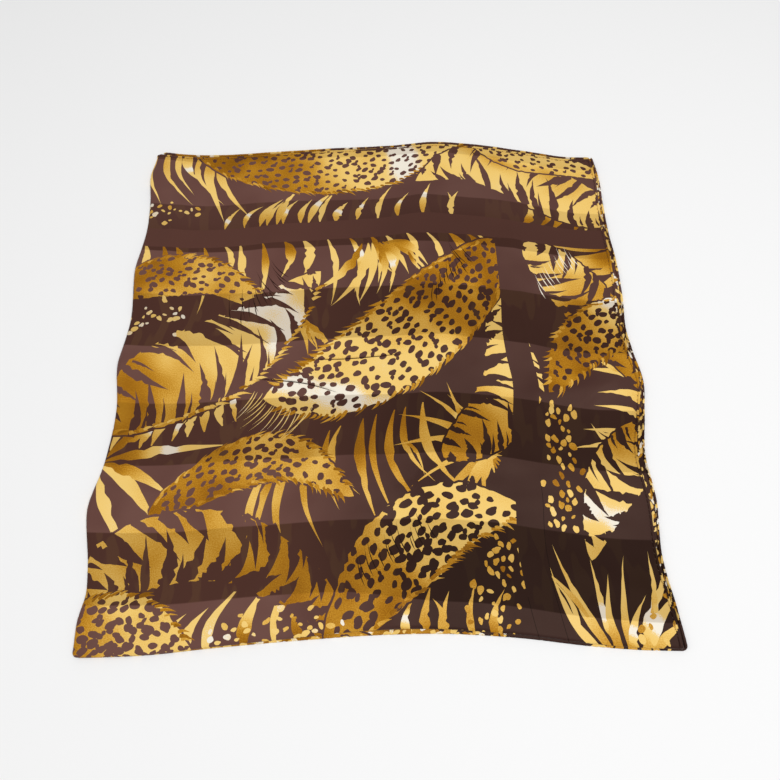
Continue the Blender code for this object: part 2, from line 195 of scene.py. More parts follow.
def right_strip(v):
    return smooth_through(RIGHT_STRIP, (v + HALF_DEPTH) / (2 * HALF_DEPTH))


def near_strip(u):
    return smooth_through(NEAR_STRIP, (u + HALF_WIDTH) / (2 * HALF_WIDTH))


def ridge(fold, x, y):
    """The lift of one fold at some places. It dies away softly to its sides and past its ends."""
    run_x, run_y = fold.end_x - fold.start_x, fold.end_y - fold.start_y
    length = math.hypot(run_x, run_y)
    along = ((x - fold.start_x) * run_x + (y - fold.start_y) * run_y) / length
    aside = ((x - fold.start_x) * run_y - (y - fold.start_y) * run_x) / length
    past = np.maximum(np.maximum(-along, along - length), 0.0)
    away = (aside / fold.half_width) ** 2 + (past / (2 * fold.half_width)) ** 2
    return fold.rise * np.exp(-away)


def soft_step(t):
    t = np.clip(t, 0.0, 1.0)
    return t * t * (3 - 2 * t)


def silk_rise(u, v, x, y):
    """How far the folds, creases and slight rumples lift the upper cloth off a flat sheet."""
    folds = sum(ridge(fold, x, y) for fold in SOFT_FOLDS)
    creases = sum(ridge(fold, x, y) for fold in FINE_CREASES)
    rumples = 0.0
    for rumple in RUMPLES:
        way = math.radians(rumple.turn)
        wave = (x * math.cos(way) + y * math.sin(way)) / rumple.pitch
        swing = 1.3 * np.sin((y * math.cos(way) - x * math.sin(way)) / (2.3 * rumple.pitch))
        rumples = rumples + rumple.height * np.sin(2 * math.pi * wave + swing)
    hem_right = (upper_right(v) - u) / HEM_FADE
    hem_far = (UPPER_FAR - v) / HEM_FADE
    fade = soft_step(hem_right) * soft_step(hem_far)
    return np.maximum((folds + creases + rumples) * fade, LOWEST_RISE)


def crease_rise(u, v):
    """The lift of the pinched creases: below zero in the groove and a little above it on the lip."""
    rise = 0.0
    for crease in PINCHED_CREASES:
        first, last = crease.places[0][0], crease.places[-1][0]
        fade = soft_step((u - first) / CREASE_FADE) * soft_step((last - u) / CREASE_FADE)
        away = v - smooth_through(crease.places, u)
        groove = np.exp(-((away / crease.half_width) ** 2))
        lip = LIP_SHARE * np.exp(-(((away - LIP_AWAY) / LIP_HALF_WIDTH) ** 2))
        rise = rise + fade * crease.depth * (lip - groove)
    return rise


def fold_round(reach, half_height):
    """Lengths over the half-ellipse of a fold, and the angle there: 90 degrees on top, and past -90 below."""
    angles = np.radians(np.linspace(90, -105, 131))
    steps = np.hypot(np.diff(reach * np.cos(angles)), np.diff(half_height * np.sin(angles)))
    return np.concatenate([[0.0], np.cumsum(steps)]), angles


LEFT_ROUND = fold_round(LEFT_REACH, UPPER_HEIGHT / 2)
NEAR_ROUND = fold_round(NEAR_REACH, (UPPER_HEIGHT - UPPER_PAIR_FOOT) / 2)
LEFT_LENGTH = np.interp(math.pi / 2, -LEFT_ROUND[1], LEFT_ROUND[0])  # from the top of the round to its foot
NEAR_LENGTH = np.interp(math.pi / 2, -NEAR_ROUND[1], NEAR_ROUND[0])
LEFT_LINE = LEFT_REACH - HALF_WIDTH  # where the flat of the cloth ends and the round of the left fold begins
UPPER_FAR = HALF_DEPTH - FAR_STRIP - HEM_REACH  # where the cloth goes into its far hem


def upper_right(v):
    """Where the upper cloth goes into its hem on the right."""
    return HALF_WIDTH - right_strip(v) - HEM_REACH


def near_line(u):
    """Where the flat of the upper cloth ends and the round of the near fold begins."""
    return near_strip(u) + NEAR_REACH - HALF_DEPTH


def upper_surface(places):
    """Points in space from places on the cloth. A place's u and v run on over the rounds of the folds."""
    u, v = places[:, 0], places[:, 1]
    u_flat = np.maximum(u, LEFT_LINE)
    v_flat = np.maximum(v, near_line(u_flat))
    near_turn = np.interp(v_flat - v, *NEAR_ROUND)
    left_turn = np.interp(u_flat - u, *LEFT_ROUND)
    # Under the near corner the cloth is drawn in both ways.
    under = soft_step(-left_turn / UNDER_TURN)
    left_drawn = DRAWN_LEFT * under * soft_step(1 - near_turn / QUARTER_TURN)
    left_out = LEFT_REACH * np.cos(left_turn) * (1 - left_drawn)
    near_out = NEAR_REACH * np.cos(near_turn) * (1 - DRAWN_NEAR * under)
    x, y = on_table(u_flat - left_out, v_flat - near_out)
    height = UPPER_HEIGHT + silk_rise(u_flat, v_flat, x, y) + crease_rise(u_flat, v_flat)
    middle = (height + UPPER_PAIR_FOOT) / 2
    z = middle + (height - middle) * np.sin(near_turn)
    return np.stack([x, y, z / 2 * (1 + np.sin(left_turn))], -1)


def cloth_border(left, right, near, far, pitch=3.0):
    """Places once round a cloth. Left and right are functions of v, near and far functions of u."""

    def corner(side_u, side_v):
        u, v = 0.0, 0.0
        for _ in range(8):
            u, v = float(side_u(v)), float(side_v(u))
        return u, v

    corners = [corner(left, near), corner(right, near), corner(right, far), corner(left, far)]
    sides = []
    for (u0, v0), (u1, v1), side in zip(corners, corners[1:] + corners[:1], (near, right, far, left)):
        shares = np.arange(int(math.hypot(u1 - u0, v1 - v0) / pitch)) * pitch / math.hypot(u1 - u0, v1 - v0)
        u, v = u0 + (u1 - u0) * shares, v0 + (v1 - v0) * shares
        if side in (near, far):
            v = side(u)
        else:
            u = side(v)
        sides.append(np.stack([u + 0 * shares, v + 0 * shares], -1))
    return np.concatenate(sides)


random = np.random.default_rng(41)
Ink = namedtuple("Ink", "outline low high start end glow")  # one printed shape, and how its gold is shaded
GROUND, LINE, BAND = 0.0, -1.0, -0.3  # tones of the brown ground, of a darker line and of the frame
DEEP, OCHRE, MID, PALE, WHITE = 0.24, 0.36, 0.56, 0.76, 1.0  # and of the gold
GLOW_PEAK, GLOW_FALL = 1.14, 2.8  # the tone at a glow, and how fast it falls away from there
PRINT_STEP = 7  # the longest straight side of a printed shape
inks = []  # in the order of printing, so a later shape lies on the earlier ones


def ink(outline, low, high=None, start=(0, 0), end=(1, 0), glow=None):
    """Prints one closed shape. Its tone goes from low to high from start to end, and pales at a glow."""
    sides = np.array(outline, float)
    for _ in range(7):
        after = np.roll(sides, -1, axis=0)
        long_sides = np.flatnonzero(np.hypot(*(after - sides).T) > PRINT_STEP) + 1
        sides = np.insert(sides, long_sides, ((sides + after) / 2)[long_sides - 1], axis=0)
    high = low if high is None else high
    inks.append(Ink(sides, low, high, np.array(start, float), np.array(end, float), glow))


def tone_at(shape, points):
    """The tone of a printed shape at some places."""
    if shape.low == shape.high:
        return np.full(len(points), float(shape.low))
    run = shape.end - shape.start
    along = ((points - shape.start) @ run) / (run @ run)
    tone = shape.low + (shape.high - shape.low) * soft_step((along - 0.15) / 0.5)
    if shape.glow is not None:
        tone = np.maximum(tone, GLOW_PEAK - GLOW_FALL * np.abs(along - shape.glow))
    return np.clip(tone, 0.2, 1.05)


def along_curve(points, shares):
    """Places on a smooth curve through a few points, with its direction and its left-hand side there."""
    points = np.array(points, float)
    knots = np.linspace(0, 1, len(points))
    slopes = np.gradient(points, knots, axis=0)
    at = np.clip((shares * (len(points) - 1)).astype(int), 0, len(points) - 2)
    span = knots[1]
    t = ((shares - knots[at]) / span)[:, None]
    a, b = points[at], points[at + 1]
    slope_a, slope_b = slopes[at] * span, slopes[at + 1] * span
    place = (1 + 2 * t) * (1 - t) ** 2 * a + t * (1 - t) ** 2 * slope_a
    place = place + t * t * (3 - 2 * t) * b + t * t * (t - 1) * slope_b
    ahead = 6 * t * (t - 1) * (a - b) + (3 * t * t - 4 * t + 1) * slope_a + (3 * t * t - 2 * t) * slope_b
    ahead = ahead / np.linalg.norm(ahead, axis=1)[:, None]
    return place, ahead, np.stack([-ahead[:, 1], ahead[:, 0]], -1)


def direction(degrees):
    turn = math.radians(degrees)
    return np.array([math.cos(turn), math.sin(turn)])


def heading_of(vector):
    return math.degrees(math.atan2(vector[1], vector[0]))


LONG_STROKE = 18  # past this length a stroke is drawn in finer steps
SWELL_BY, TAPER_OVER = 0.42, 0.66  # shares of a stroke's length in which it widens and runs out
SIDE_WAVER, NICK_CHANCE, NICK_WIDTH = 0.07, 0.1, 0.55  # how uneven its sides are, and how it is nicked


def blade(base, heading, length, width, bend, low, high=None, glow=None, blunt=0.12, steps=17):
    """A long stroke that swells from its base, runs out to a sharp tip, and has a few nicks in its sides."""
    ahead, side = direction(heading), direction(heading + 90)
    knots = np.linspace(0, 1, steps)
    shares = np.linspace(0, 1, 2 * steps - 1 if length > LONG_STROKE else steps)[:, None]
    bow = bend * (np.sin(np.pi * shares**0.9) - 0.5 * shares)
    place = base + ahead * length * shares + side * bow
    aside = np.gradient(place, axis=0)[:, ::-1] * (-1, 1)
    aside = aside / np.linalg.norm(aside, axis=1)[:, None]
    swell = blunt + (1 - blunt) * np.sin(0.5 * np.pi * np.clip(shares[:, 0] / SWELL_BY, 0, 1))
    taper = np.clip((1 - shares[:, 0]) / TAPER_OVER, 0, 1) ** 1.1
    half = 0.5 * width * np.minimum(swell, taper)
    flanks = []
    for flank in (1, -1):
        torn = 1 + random.uniform(-SIDE_WAVER, SIDE_WAVER, steps)
        torn[random.random(steps) < NICK_CHANCE] *= NICK_WIDTH
        torn = smooth_through(np.stack([knots, torn], -1), shares[:, 0])
        flanks.append(place + flank * aside * (half * torn)[:, None])
    outline = np.concatenate([flanks[0][:-1], [place[-1]], flanks[1][-2::-1]])
    ink(outline, low, high, place[0], place[-1], glow)


def spot(centre, heading, long_radius, short_radius, tone, sides=9, rough=0.2):
    """A small blot, drawn out along its heading."""
    turns = np.linspace(0, 2 * np.pi, 2 * sides, endpoint=False) + random.uniform(0, 1)
    radii = 1 + random.uniform(-rough, rough, sides)
    radii = np.interp(np.arange(2 * sides) / 2, np.arange(sides + 1), np.append(radii, radii[0]))
    ahead = np.cos(turns) * radii * long_radius
    across = np.sin(turns) * radii * short_radius
    ink(centre + ahead[:, None] * direction(heading) + across[:, None] * direction(heading + 90), tone)


Leaf = namedtuple("Leaf", "place ahead aside left right length")  # its spine, and how far out its sides are
LEAF_STEPS = 64
LEAF_WAVER = 0.025  # how uneven its sides are


def leaf(spine, widest, low, high, shade=(0, 1), glow=None, fullness=0.8, halo=1.8):
    """A large leaf, drawn in to a point at its end, with a dark outline.

    Its shade is how far along and how far across it the tone changes.
    """
    place, ahead, aside = along_curve(spine, np.linspace(0, 1, LEAF_STEPS))
    half = widest * np.sin(np.pi * np.linspace(0, 1, LEAF_STEPS) ** fullness) ** 0.7
    left, right = (half * (1 + LEAF_WAVER * random.standard_normal(LEAF_STEPS)) for _ in range(2))
    sides = np.concatenate([place + aside * left[:, None], (place - aside * right[:, None])[-2:0:-1]])
    out = sides - np.concatenate([place, place[-2:0:-1]])
    out = out / np.maximum(np.linalg.norm(out, axis=1), 0.1)[:, None]
    ink(sides + halo * out, GROUND)
    middle = LEAF_STEPS // 2
    run = (place[-1] - place[0]) * shade[0] + aside[middle] * 2 * widest * shade[1]
    ink(sides, low, high, place[middle] - run / 2, place[middle] + run / 2, glow)
    return Leaf(place, ahead, aside, left, right, np.linalg.norm(np.diff(place, axis=0), axis=1).sum())


TUFT_ROOT = 2.0  # tufts begin this far inside a leaf's side


def tufts(leaf, flanks, low, high, length=9.0, width=2.4, pitch=4.0):
    """Short tufts that stand out along the sides of a leaf and lie towards its tip."""
    count = int(leaf.length / pitch)
    for flank in flanks:
        half = leaf.left if flank > 0 else leaf.right
        for share in (np.arange(count) + random.uniform(0, 1, count)) / count:
            i = int(np.clip(share, 0.05, 0.95) * (len(leaf.place) - 1))
            base = leaf.place[i] + flank * leaf.aside[i] * (half[i] - TUFT_ROOT)
            heading = heading_of(leaf.ahead[i]) + flank * random.uniform(14, 32)
            thick = width * random.uniform(0.7, 1.3)
            run = length * random.uniform(0.6, 1.4)
            blade(base, heading, run, thick, 0.8, random.uniform(low, high), blunt=0.8, steps=6)


def spotted(leaf, pitch, size, doubled=0.3):
    """Dark spots in staggered rows over a leaf, some of them doubled."""
    rows = int(leaf.length / pitch)
    for row in range(rows):
        i = int((row + 0.6) / rows * (len(leaf.place) - 1))
        room = leaf.left[i] + leaf.right[i]
        count = max(1, int(room / (pitch * 0.78)))
        for k in range(count):
            away = -leaf.right[i] + room * (k + 0.4 + 0.5 * (row % 2)) / count + random.normal(0, 1.0)
            if not 0.8 - leaf.right[i] < away < leaf.left[i] - 0.8:
                continue
            centre = leaf.place[i] + leaf.aside[i] * away + leaf.ahead[i] * random.normal(0, 1.5)
            heading = heading_of(leaf.ahead[i]) + random.normal(0, 18)
            grow = size * random.uniform(0.75, 1.35)
            spot(centre, heading, grow * 1.25, grow * 0.85, GROUND)
            if random.random() < doubled:
                beside = centre + direction(heading + 50) * grow * 1.5
                spot(beside, heading + 60, grow * 0.85, grow * 0.6, GROUND)


def striped(leaf, pitch, width, slant=28, reach=1.45):
    """Dark tapered stripes that run in from the two sides of a leaf, some with a thin one beside them."""
    rows = int(leaf.length / pitch)
    for row in range(rows):
        for flank, half in ((1, leaf.left), (-1, leaf.right)):
            share = (row + 0.5 + 0.25 * flank + random.uniform(-0.13, 0.13)) / rows
            i = int(np.clip(share, 0.02, 0.97) * (len(leaf.place) - 1))
            if half[i] < 5:
                continue
            start = leaf.place[i] + leaf.aside[i] * flank * (half[i] + 1.5)
            heading = heading_of(-leaf.aside[i] * flank) + flank * (slant + random.uniform(-8, 8))
            run = half[i] * reach * random.uniform(0.75, 1.35)
            thick = width * random.uniform(0.75, 1.45)
            blade(start, heading, run, thick, flank * random.uniform(-0.05, 0.16) * run, GROUND, blunt=0.7)
            if random.random() < 0.5:
                beside = start + leaf.ahead[i] * thick * random.uniform(0.9, 1.3)
                blade(beside, heading + 5 * flank, run * 0.5, thick * 0.35, flank, GROUND, blunt=0.7, steps=9)


def grass(spine, count, turn, length, width, bend, low, high, fan, white=0.1):
    """Strokes that stand out along a curve, each turned from the curve's direction. Some pale to white."""
    shares = (np.arange(count) + 0.5 + random.uniform(-0.25, 0.25, count)) / count
    place, ahead, _ = along_curve(spine, shares)
    for share, base, on in zip(shares, place, ahead):
        heading = heading_of(on) + turn + fan * (share - 0.5) + random.uniform(-6, 6)
        run = length * random.uniform(0.6, 1.15)
        thick = width * random.uniform(0.65, 1.2)
        bow = bend * random.uniform(0.5, 1.3)
        first, last = (low, high) if random.random() < 0.7 else (high, high)
        glow = random.uniform(0.3, 0.6)
        blade(base, heading, run, thick, bow, first, last, glow if random.random() < white else None)
        if random.random() < 0.18:
            fork = base + direction(heading) * run * 0.4 + direction(heading + 90) * bow * 0.8
            turned = heading + random.choice((-15, 15))
            blade(fork, turned, run * 0.5, thick * 0.55, -bow * 0.4, first, last, blunt=0.5, steps=12)


DAB_CLEAR = 1.75  # dabs keep this many times their size apart


def drift(spine, spread, count, size, low, high):
    """A drift of small dabs along a curve, as many of the count as have room."""
    place, ahead, aside = along_curve(spine, random.uniform(0, 1, count))
    centres = []
    for at, on, out in zip(place, ahead, aside):
        grow = size * random.uniform(0.6, 1.25)
        turned = heading_of(on) + random.normal(0, 30)
        centre = at + out * random.normal(0, spread)
        tone = random.uniform(low, high)
        if all(math.dist(centre, other) > DAB_CLEAR * size for other in centres):
            centres.append(centre)
            spot(centre, turned, grow, grow * 0.66, tone, 8, 0.28)


def hairs(spine, count, turn, length, tone, fan):
    """A brush of hair-thin strokes along a curve."""
    shares = (np.arange(count) + random.uniform(0.2, 0.8, count)) / count
    place, ahead, aside = along_curve(spine, shares)
    for share, base, on, out in zip(shares, place, ahead, aside):
        heading = heading_of(on) + turn + fan * (share - 0.5) + random.uniform(-5, 5)
        run = length * random.uniform(0.6, 1.3)
        blade(base + out * random.normal(0, 2), heading, run, 1.0, run * 0.06, tone, steps=7)


# Grass and palm fans on the bare ground, under the leaves
grass([(-236, 120), (-120, 119), (0, 119), (110, 119)], 18, -82, 64, 9, 9, OCHRE, PALE, 30)
grass([(-232, 238), (-190, 238), (-150, 230)], 7, -70, 78, 10, -10, MID, PALE, 24, 0.2)
grass([(-158, 138), (-100, 138), (-50, 138)], 6, 66, 40, 8, 6, MID, PALE, 20, 0.45)
grass([(-130, 138), (-20, 138), (80, 138)], 9, 70, 42, 8, 5, MID, PALE, 30, 0.7)
grass([(134, 138), (180, 138), (228, 138)], 6, 76, 46, 8, -6, OCHRE, PALE, 30)
grass([(-96, -96), (-30, -66), (44, -48)], 11, -100, 98, 9, -12, OCHRE, MID, 60)
grass([(-236, -226), (-160, -236), (-60, -236)], 8, 66, 60, 9, 8, OCHRE, PALE, 40)
grass([(-60, -236), (20, -236), (100, -236)], 9, 94, 56, 8, 7, OCHRE, MID, -20)
grass([(170, -238), (184, -240), (200, -238)], 9, 84, 84, 9, 8, MID, PALE, -120, 0.5)
grass([(238, -120), (230, -70), (238, -16)], 6, 70, 66, 9, -10, MID, PALE, 40, 0.2)
grass([(-238, -96), (-226, -88), (-222, -76)], 9, -74, 92, 9.5, 8, OCHRE, PALE, 120, 0.6)
grass([(-206, -76), (-160, -66), (-112, -54)], 7, 62, 46, 8.5, 6, MID, PALE, 40, 0.6)
grass([(96, -110), (104, -96), (104, -80)], 8, 110, 84, 8.5, -8, OCHRE, MID, 110)
grass([(-16, 112), (0, 112), (12, 112)], 8, -80, 70, 9, 8, OCHRE, PALE, 110)
grass([(236, 132), (240, 118), (240, 100)], 7, -88, 84, 9, 7, OCHRE, MID, 70)
grass([(-116, 76), (-86, 50), (-60, 20)], 7, -12, 56, 8, 7, OCHRE, MID, 30)

# Large leaves, spotted and striped
spine = [(-196, 246), (-116, 212), (-40, 200), (30, 206), (100, 240)]
far_leaf = leaf(spine, 29, OCHRE, PALE, (0.6, 0.8), 0.85)
spotted(far_leaf, 9.5, 2.3)
tufts(far_leaf, (-1,), DEEP, MID)
spine = [(240, 150), (196, 170), (150, 190), (92, 202), (40, 178)]
striped(leaf(spine, 29, MID, PALE, (0, 1.2)), 17, 7.5, 30)
corner_leaf = leaf([(96, 236), (140, 218), (190, 216), (236, 200)], 15, MID, PALE)
spotted(corner_leaf, 8, 2.0)
hill = leaf([(-240, 66), (-196, 86), (-150, 84), (-98, 46)], 21, OCHRE, MID, (0.7, -0.9))
spotted(hill, 9, 2.3)
tufts(hill, (1,), DEEP, MID)
slope = leaf([(-240, -60), (-176, -14), (-116, 18), (-52, 84)], 41, OCHRE, PALE, (1.0, 0.6), 0.75, 0.9)
striped(slope, 18, 8, 34)
tufts(slope, (-1,), DEEP, PALE, 10, 2.8)
spur = leaf([(-176, -132), (-120, -96), (-70, -92), (-16, -126)], 21, OCHRE, MID, (0.3, 1.0))
spotted(spur, 9, 2.4)
tufts(spur, (1, -1), DEEP, MID)
spine = [(56, -98), (98, -60), (116, -8), (104, 78)]
striped(leaf(spine, 26, OCHRE, PALE, (0.8, -0.6)), 15, 7)
spine = [(114, 116), (76, 62), (24, 12), (-40, -28), (-100, -38)]
long_leaf = leaf(spine, 41, OCHRE, PALE, (0.5, 1.0), 0.95, 0.9)
spotted(long_leaf, 10.2, 2.9)
tufts(long_leaf, (1, -1), DEEP, MID, 10, 2.6)
spine = [(-240, -204), (-190, -162), (-120, -156), (-60, -190), (-26, -232)]
striped(leaf(spine, 27, OCHRE, MID, (-0.6, 0.8)), 16, 9.5, 30)
hollow = leaf([(-40, -240), (10, -180), (56, -146), (118, -134)], 32, OCHRE, PALE, (1.0, 0.3), None, 0.9)
spotted(hollow, 10.4, 3.2)
tufts(hollow, (-1,), DEEP, MID, 10, 2.6)
spine = [(140, 116), (172, 84), (204, 36), (220, -24)]
striped(leaf(spine, 26, PALE, OCHRE, (1.0, 0.2)), 14, 7, 30)
spine = [(238, -50), (214, -78), (186, -116), (168, -168)]
striped(leaf(spine, 22, OCHRE, PALE, (0.9, 0.5), 0.8), 17, 7.5, 30)
side_leaf = leaf([(246, 50), (214, 42), (178, 16), (142, -34)], 24, PALE, OCHRE, (0.9, 0.7), 0.2)
spotted(side_leaf, 9.4, 2.7)
tufts(side_leaf, (1, -1), DEEP, MID)
spine = [(-262, -236), (-214, -212), (-178, -212), (-134, -240)]
near_leaf = leaf(spine, 24, OCHRE, PALE, (0.8, 0.6), None, 0.9)
spotted(near_leaf, 8.7, 2.8)
tufts(near_leaf, (1,), DEEP, MID)

# Drifts of dabs, and brushes of hair
drift([(-232, 152), (-206, 160), (-176, 156)], 5, 70, 2.7, MID, WHITE)
drift([(146, -40), (156, -92), (146, -146)], 6, 200, 3.1, OCHRE, PALE)
drift([(-130, -230), (-84, -218), (-26, -228)], 6, 120, 2.7, MID, WHITE)
drift([(70, -236), (96, -200), (110, -160)], 9, 140, 2.9, OCHRE, PALE)
drift([(-236, 26), (-212, 44), (-176, 50)], 6, 60, 2.7, PALE, 1.05)
drift([(196, -226), (212, -204), (230, -196)], 6, 40, 2.8, OCHRE, PALE)
hairs([(-130, 30), (-100, 54), (-78, 80)], 16, 70, 28, LINE, 30)
hairs([(-56, -52), (-88, -46), (-108, -28)], 16, 80, 26, 0.9, 40)
hairs([(46, 44), (74, 70), (92, 92)], 14, 60, 24, LINE, 30)
hairs([(150, 60), (170, 84), (190, 100)], 14, 70, 20, WHITE, 20)
hairs([(-14, -196), (20, -176), (50, -160)], 14, 80, 22, LINE, 20)

# Two plain bands frame the print, one at the far side and one at the right, where fine dark lines lie on it.
ink([(133.7, -100), (134.2, -120), (134.3, -196), (141.5, -250), (141.0, -250), (133.8, -196)], LINE)
ink([(119.8, -250), (112.4, -196), (112.4, 130), (133.8, 130), (133.8, -196), (141.0, -250)], GROUND)
ink([(112.6, -200), (119.8, -250), (120.3, -250), (113.1, -200)], LINE)
ink([(-250, 117.6), (0, 118.4), (250, 118.0), (250, 138.6), (60, 140.8), (-120, 138.0), (-250, 137.6)], BAND)

# Painted shadow: a thin dark stroke is printed along the groove of each pinched crease.
CREASE_SHADOW_STEPS = 40
for crease in PINCHED_CREASES:
    u = np.linspace(crease.places[0][0] + 3, crease.places[-1][0] - 3, CREASE_SHADOW_STEPS)
    v = smooth_through(crease.places, u)
    half = 0.55 * crease.half_width * np.sin(np.pi * np.linspace(0, 1, CREASE_SHADOW_STEPS)) ** 0.5
    ink(np.concatenate([np.stack([u, v - half], -1), np.stack([u, v + half], -1)[::-1]]), LINE)


def inside(outline, places):
    """Which places lie within an outline, by how often it winds round each of them."""
    start, end = outline, np.roll(outline, -1, axis=0)
    low, high = np.minimum(start[:, 1], end[:, 1]), np.maximum(start[:, 1], end[:, 1])
    within = np.zeros(len(places), bool)
    for rows in np.array_split(np.argsort(places[:, 1]), len(places) // 500 + 1):
        px, py = places[rows, :1], places[rows, 1:]
        met = (low <= py.max()) & (high >= py.min())
        a, b = start[met], end[met]
        rise = b[:, 1] - a[:, 1]
        crosses = (a[:, 1] > py) != (b[:, 1] > py)
        slope = (b[:, 0] - a[:, 0]) / np.where(rise == 0, 1.0, rise)
        to_right = px < a[:, 0] + (py - a[:, 1]) * slope
        within[rows] = (np.sign(rise) * (crosses & to_right)).sum(1) != 0
    return within


def shape_at(places, shapes):
    """The number of the uppermost shape at each place, or -1 on the bare ground."""
    order = np.argsort(places[:, 0])
    sorted_x = places[order, 0]
    owner = np.full(len(places), -1)
    for number, shape in enumerate(shapes):
        low, high = shape.outline.min(0), shape.outline.max(0)
        near = order[slice(*np.searchsorted(sorted_x, (low[0], high[0])))]
        near = near[(places[near, 1] > low[1]) & (places[near, 1] < high[1])]
        if len(near):
            owner[near[inside(shape.outline, places[near])]] = number
    return owner


SAME_PLACE = 1e-3  # places closer than this are one


def cut_triangles(border, extra, shapes):
    """Triangles that fill a border, cut along the shapes' outlines, and each triangle's shape, or -1."""
    rings = [border] + [shape.outline for shape in shapes]
    places = np.concatenate(rings + [extra])
    edges = []
    first = 0
    for ring in rings:
        count = len(ring)
        edges += [(first + k, first + (k + 1) % count) for k in range(count)]
        first += count
    cut = delaunay_2d_cdt([tuple(place) for place in places.tolist()], edges, [], 0, SAME_PLACE, False)
    points = np.array([tuple(point) for point in cut[0]])
    triangles = np.array(cut[2])
    centres = points[triangles].mean(1)
    kept = inside(border, centres)
    triangles, centres = triangles[kept], centres[kept]
    a, b, c = (points[triangles[:, k]] for k in range(3))
    turned = (b[:, 0] - a[:, 0]) * (c[:, 1] - a[:, 1]) < (b[:, 1] - a[:, 1]) * (c[:, 0] - a[:, 0])
    triangles[turned] = triangles[turned][:, ::-1]
    owner = shape_at(centres, shapes)
    used, triangles = np.unique(triangles, return_inverse=True)
    return points[used], triangles.reshape(-1, 3), owner


def border_ring(triangles):
    """The border of a set of triangles as one ring of point numbers, with the triangles on its left."""
    edges = np.concatenate([triangles[:, [0, 1]], triangles[:, [1, 2]], triangles[:, [2, 0]]])
    pairs = {tuple(edge) for edge in edges.tolist()}
    after = {a: b for a, b in pairs if (b, a) not in pairs}
    ring = [min(after)]
    while after[ring[-1]] != ring[0]:
        ring.append(after[ring[-1]])
    return ring


def follow_bends(outlines, surface, slack=0.05):
    """The outlines with more places wherever the cloth bends away from one of their straight sides."""
    outlines = list(outlines)
    for _ in range(5):
        here = np.concatenate(outlines)
        there = np.concatenate([np.roll(outline, -1, axis=0) for outline in outlines])
        middle = (here + there) / 2
        lift = surface(middle) - (surface(here) + surface(there)) / 2
        bent = np.linalg.norm(lift, axis=1) > slack
        first = 0
        for number, outline in enumerate(outlines):
            rows = first + np.flatnonzero(bent[first : first + len(outline)])
            outlines[number] = np.insert(outline, rows - first + 1, middle[rows], axis=0)
            first += len(outline)
    return outlines


def surface_normals(surface, places, reach=0.08):
    """Which way the cloth faces at its places."""
    step_x, step_y = np.array([reach, 0.0]), np.array([0.0, reach])
    across = surface(places + step_x) - surface(places - step_x)
    along = surface(places + step_y) - surface(places - step_y)
    normals = np.cross(across, along)
    return normals / np.linalg.norm(normals, axis=1)[:, None]


# Where the parts of a cloth lie in its baked picture, which is a square of side 1: (place, size)
FACE_PART = ((0.01, 0.01), (0.93, 0.93))
BACK_PART = ((0.95, 0.01), (0.04, 0.93))
RIM_PART = ((0.01, 0.96), (0.93, 0.03))


def laid_out(part, spots):
    """Spots in a square of side 1, moved into one part of a baked picture."""
    place, size = part
    return place + spots * size


def silk_piece(name, points, faces, dye, places, bake_spots, material, normals=None):
    """An object of printed silk. All but its points are given for each corner of its faces."""
    mesh = bpy.data.meshes.new(name)
    mesh.from_pydata((points * MM).tolist(), [], faces)
    mesh.shade_smooth()
    if normals is not None:
        mesh.normals_split_custom_set(normals.reshape(-1, 3).tolist())
    mesh.attributes.new("dye", "FLOAT", "CORNER").data.foreach_set("value", dye.ravel())
    for map_name, spots in (("silk", places * MM), ("OFBake", bake_spots)):
        mesh.uv_layers.new(name=map_name).data.foreach_set("uv", spots.ravel())
    mesh.materials.append(material)
    piece = bpy.data.objects.new(name, mesh)
    bpy.context.scene.collection.objects.link(piece)
    return piece


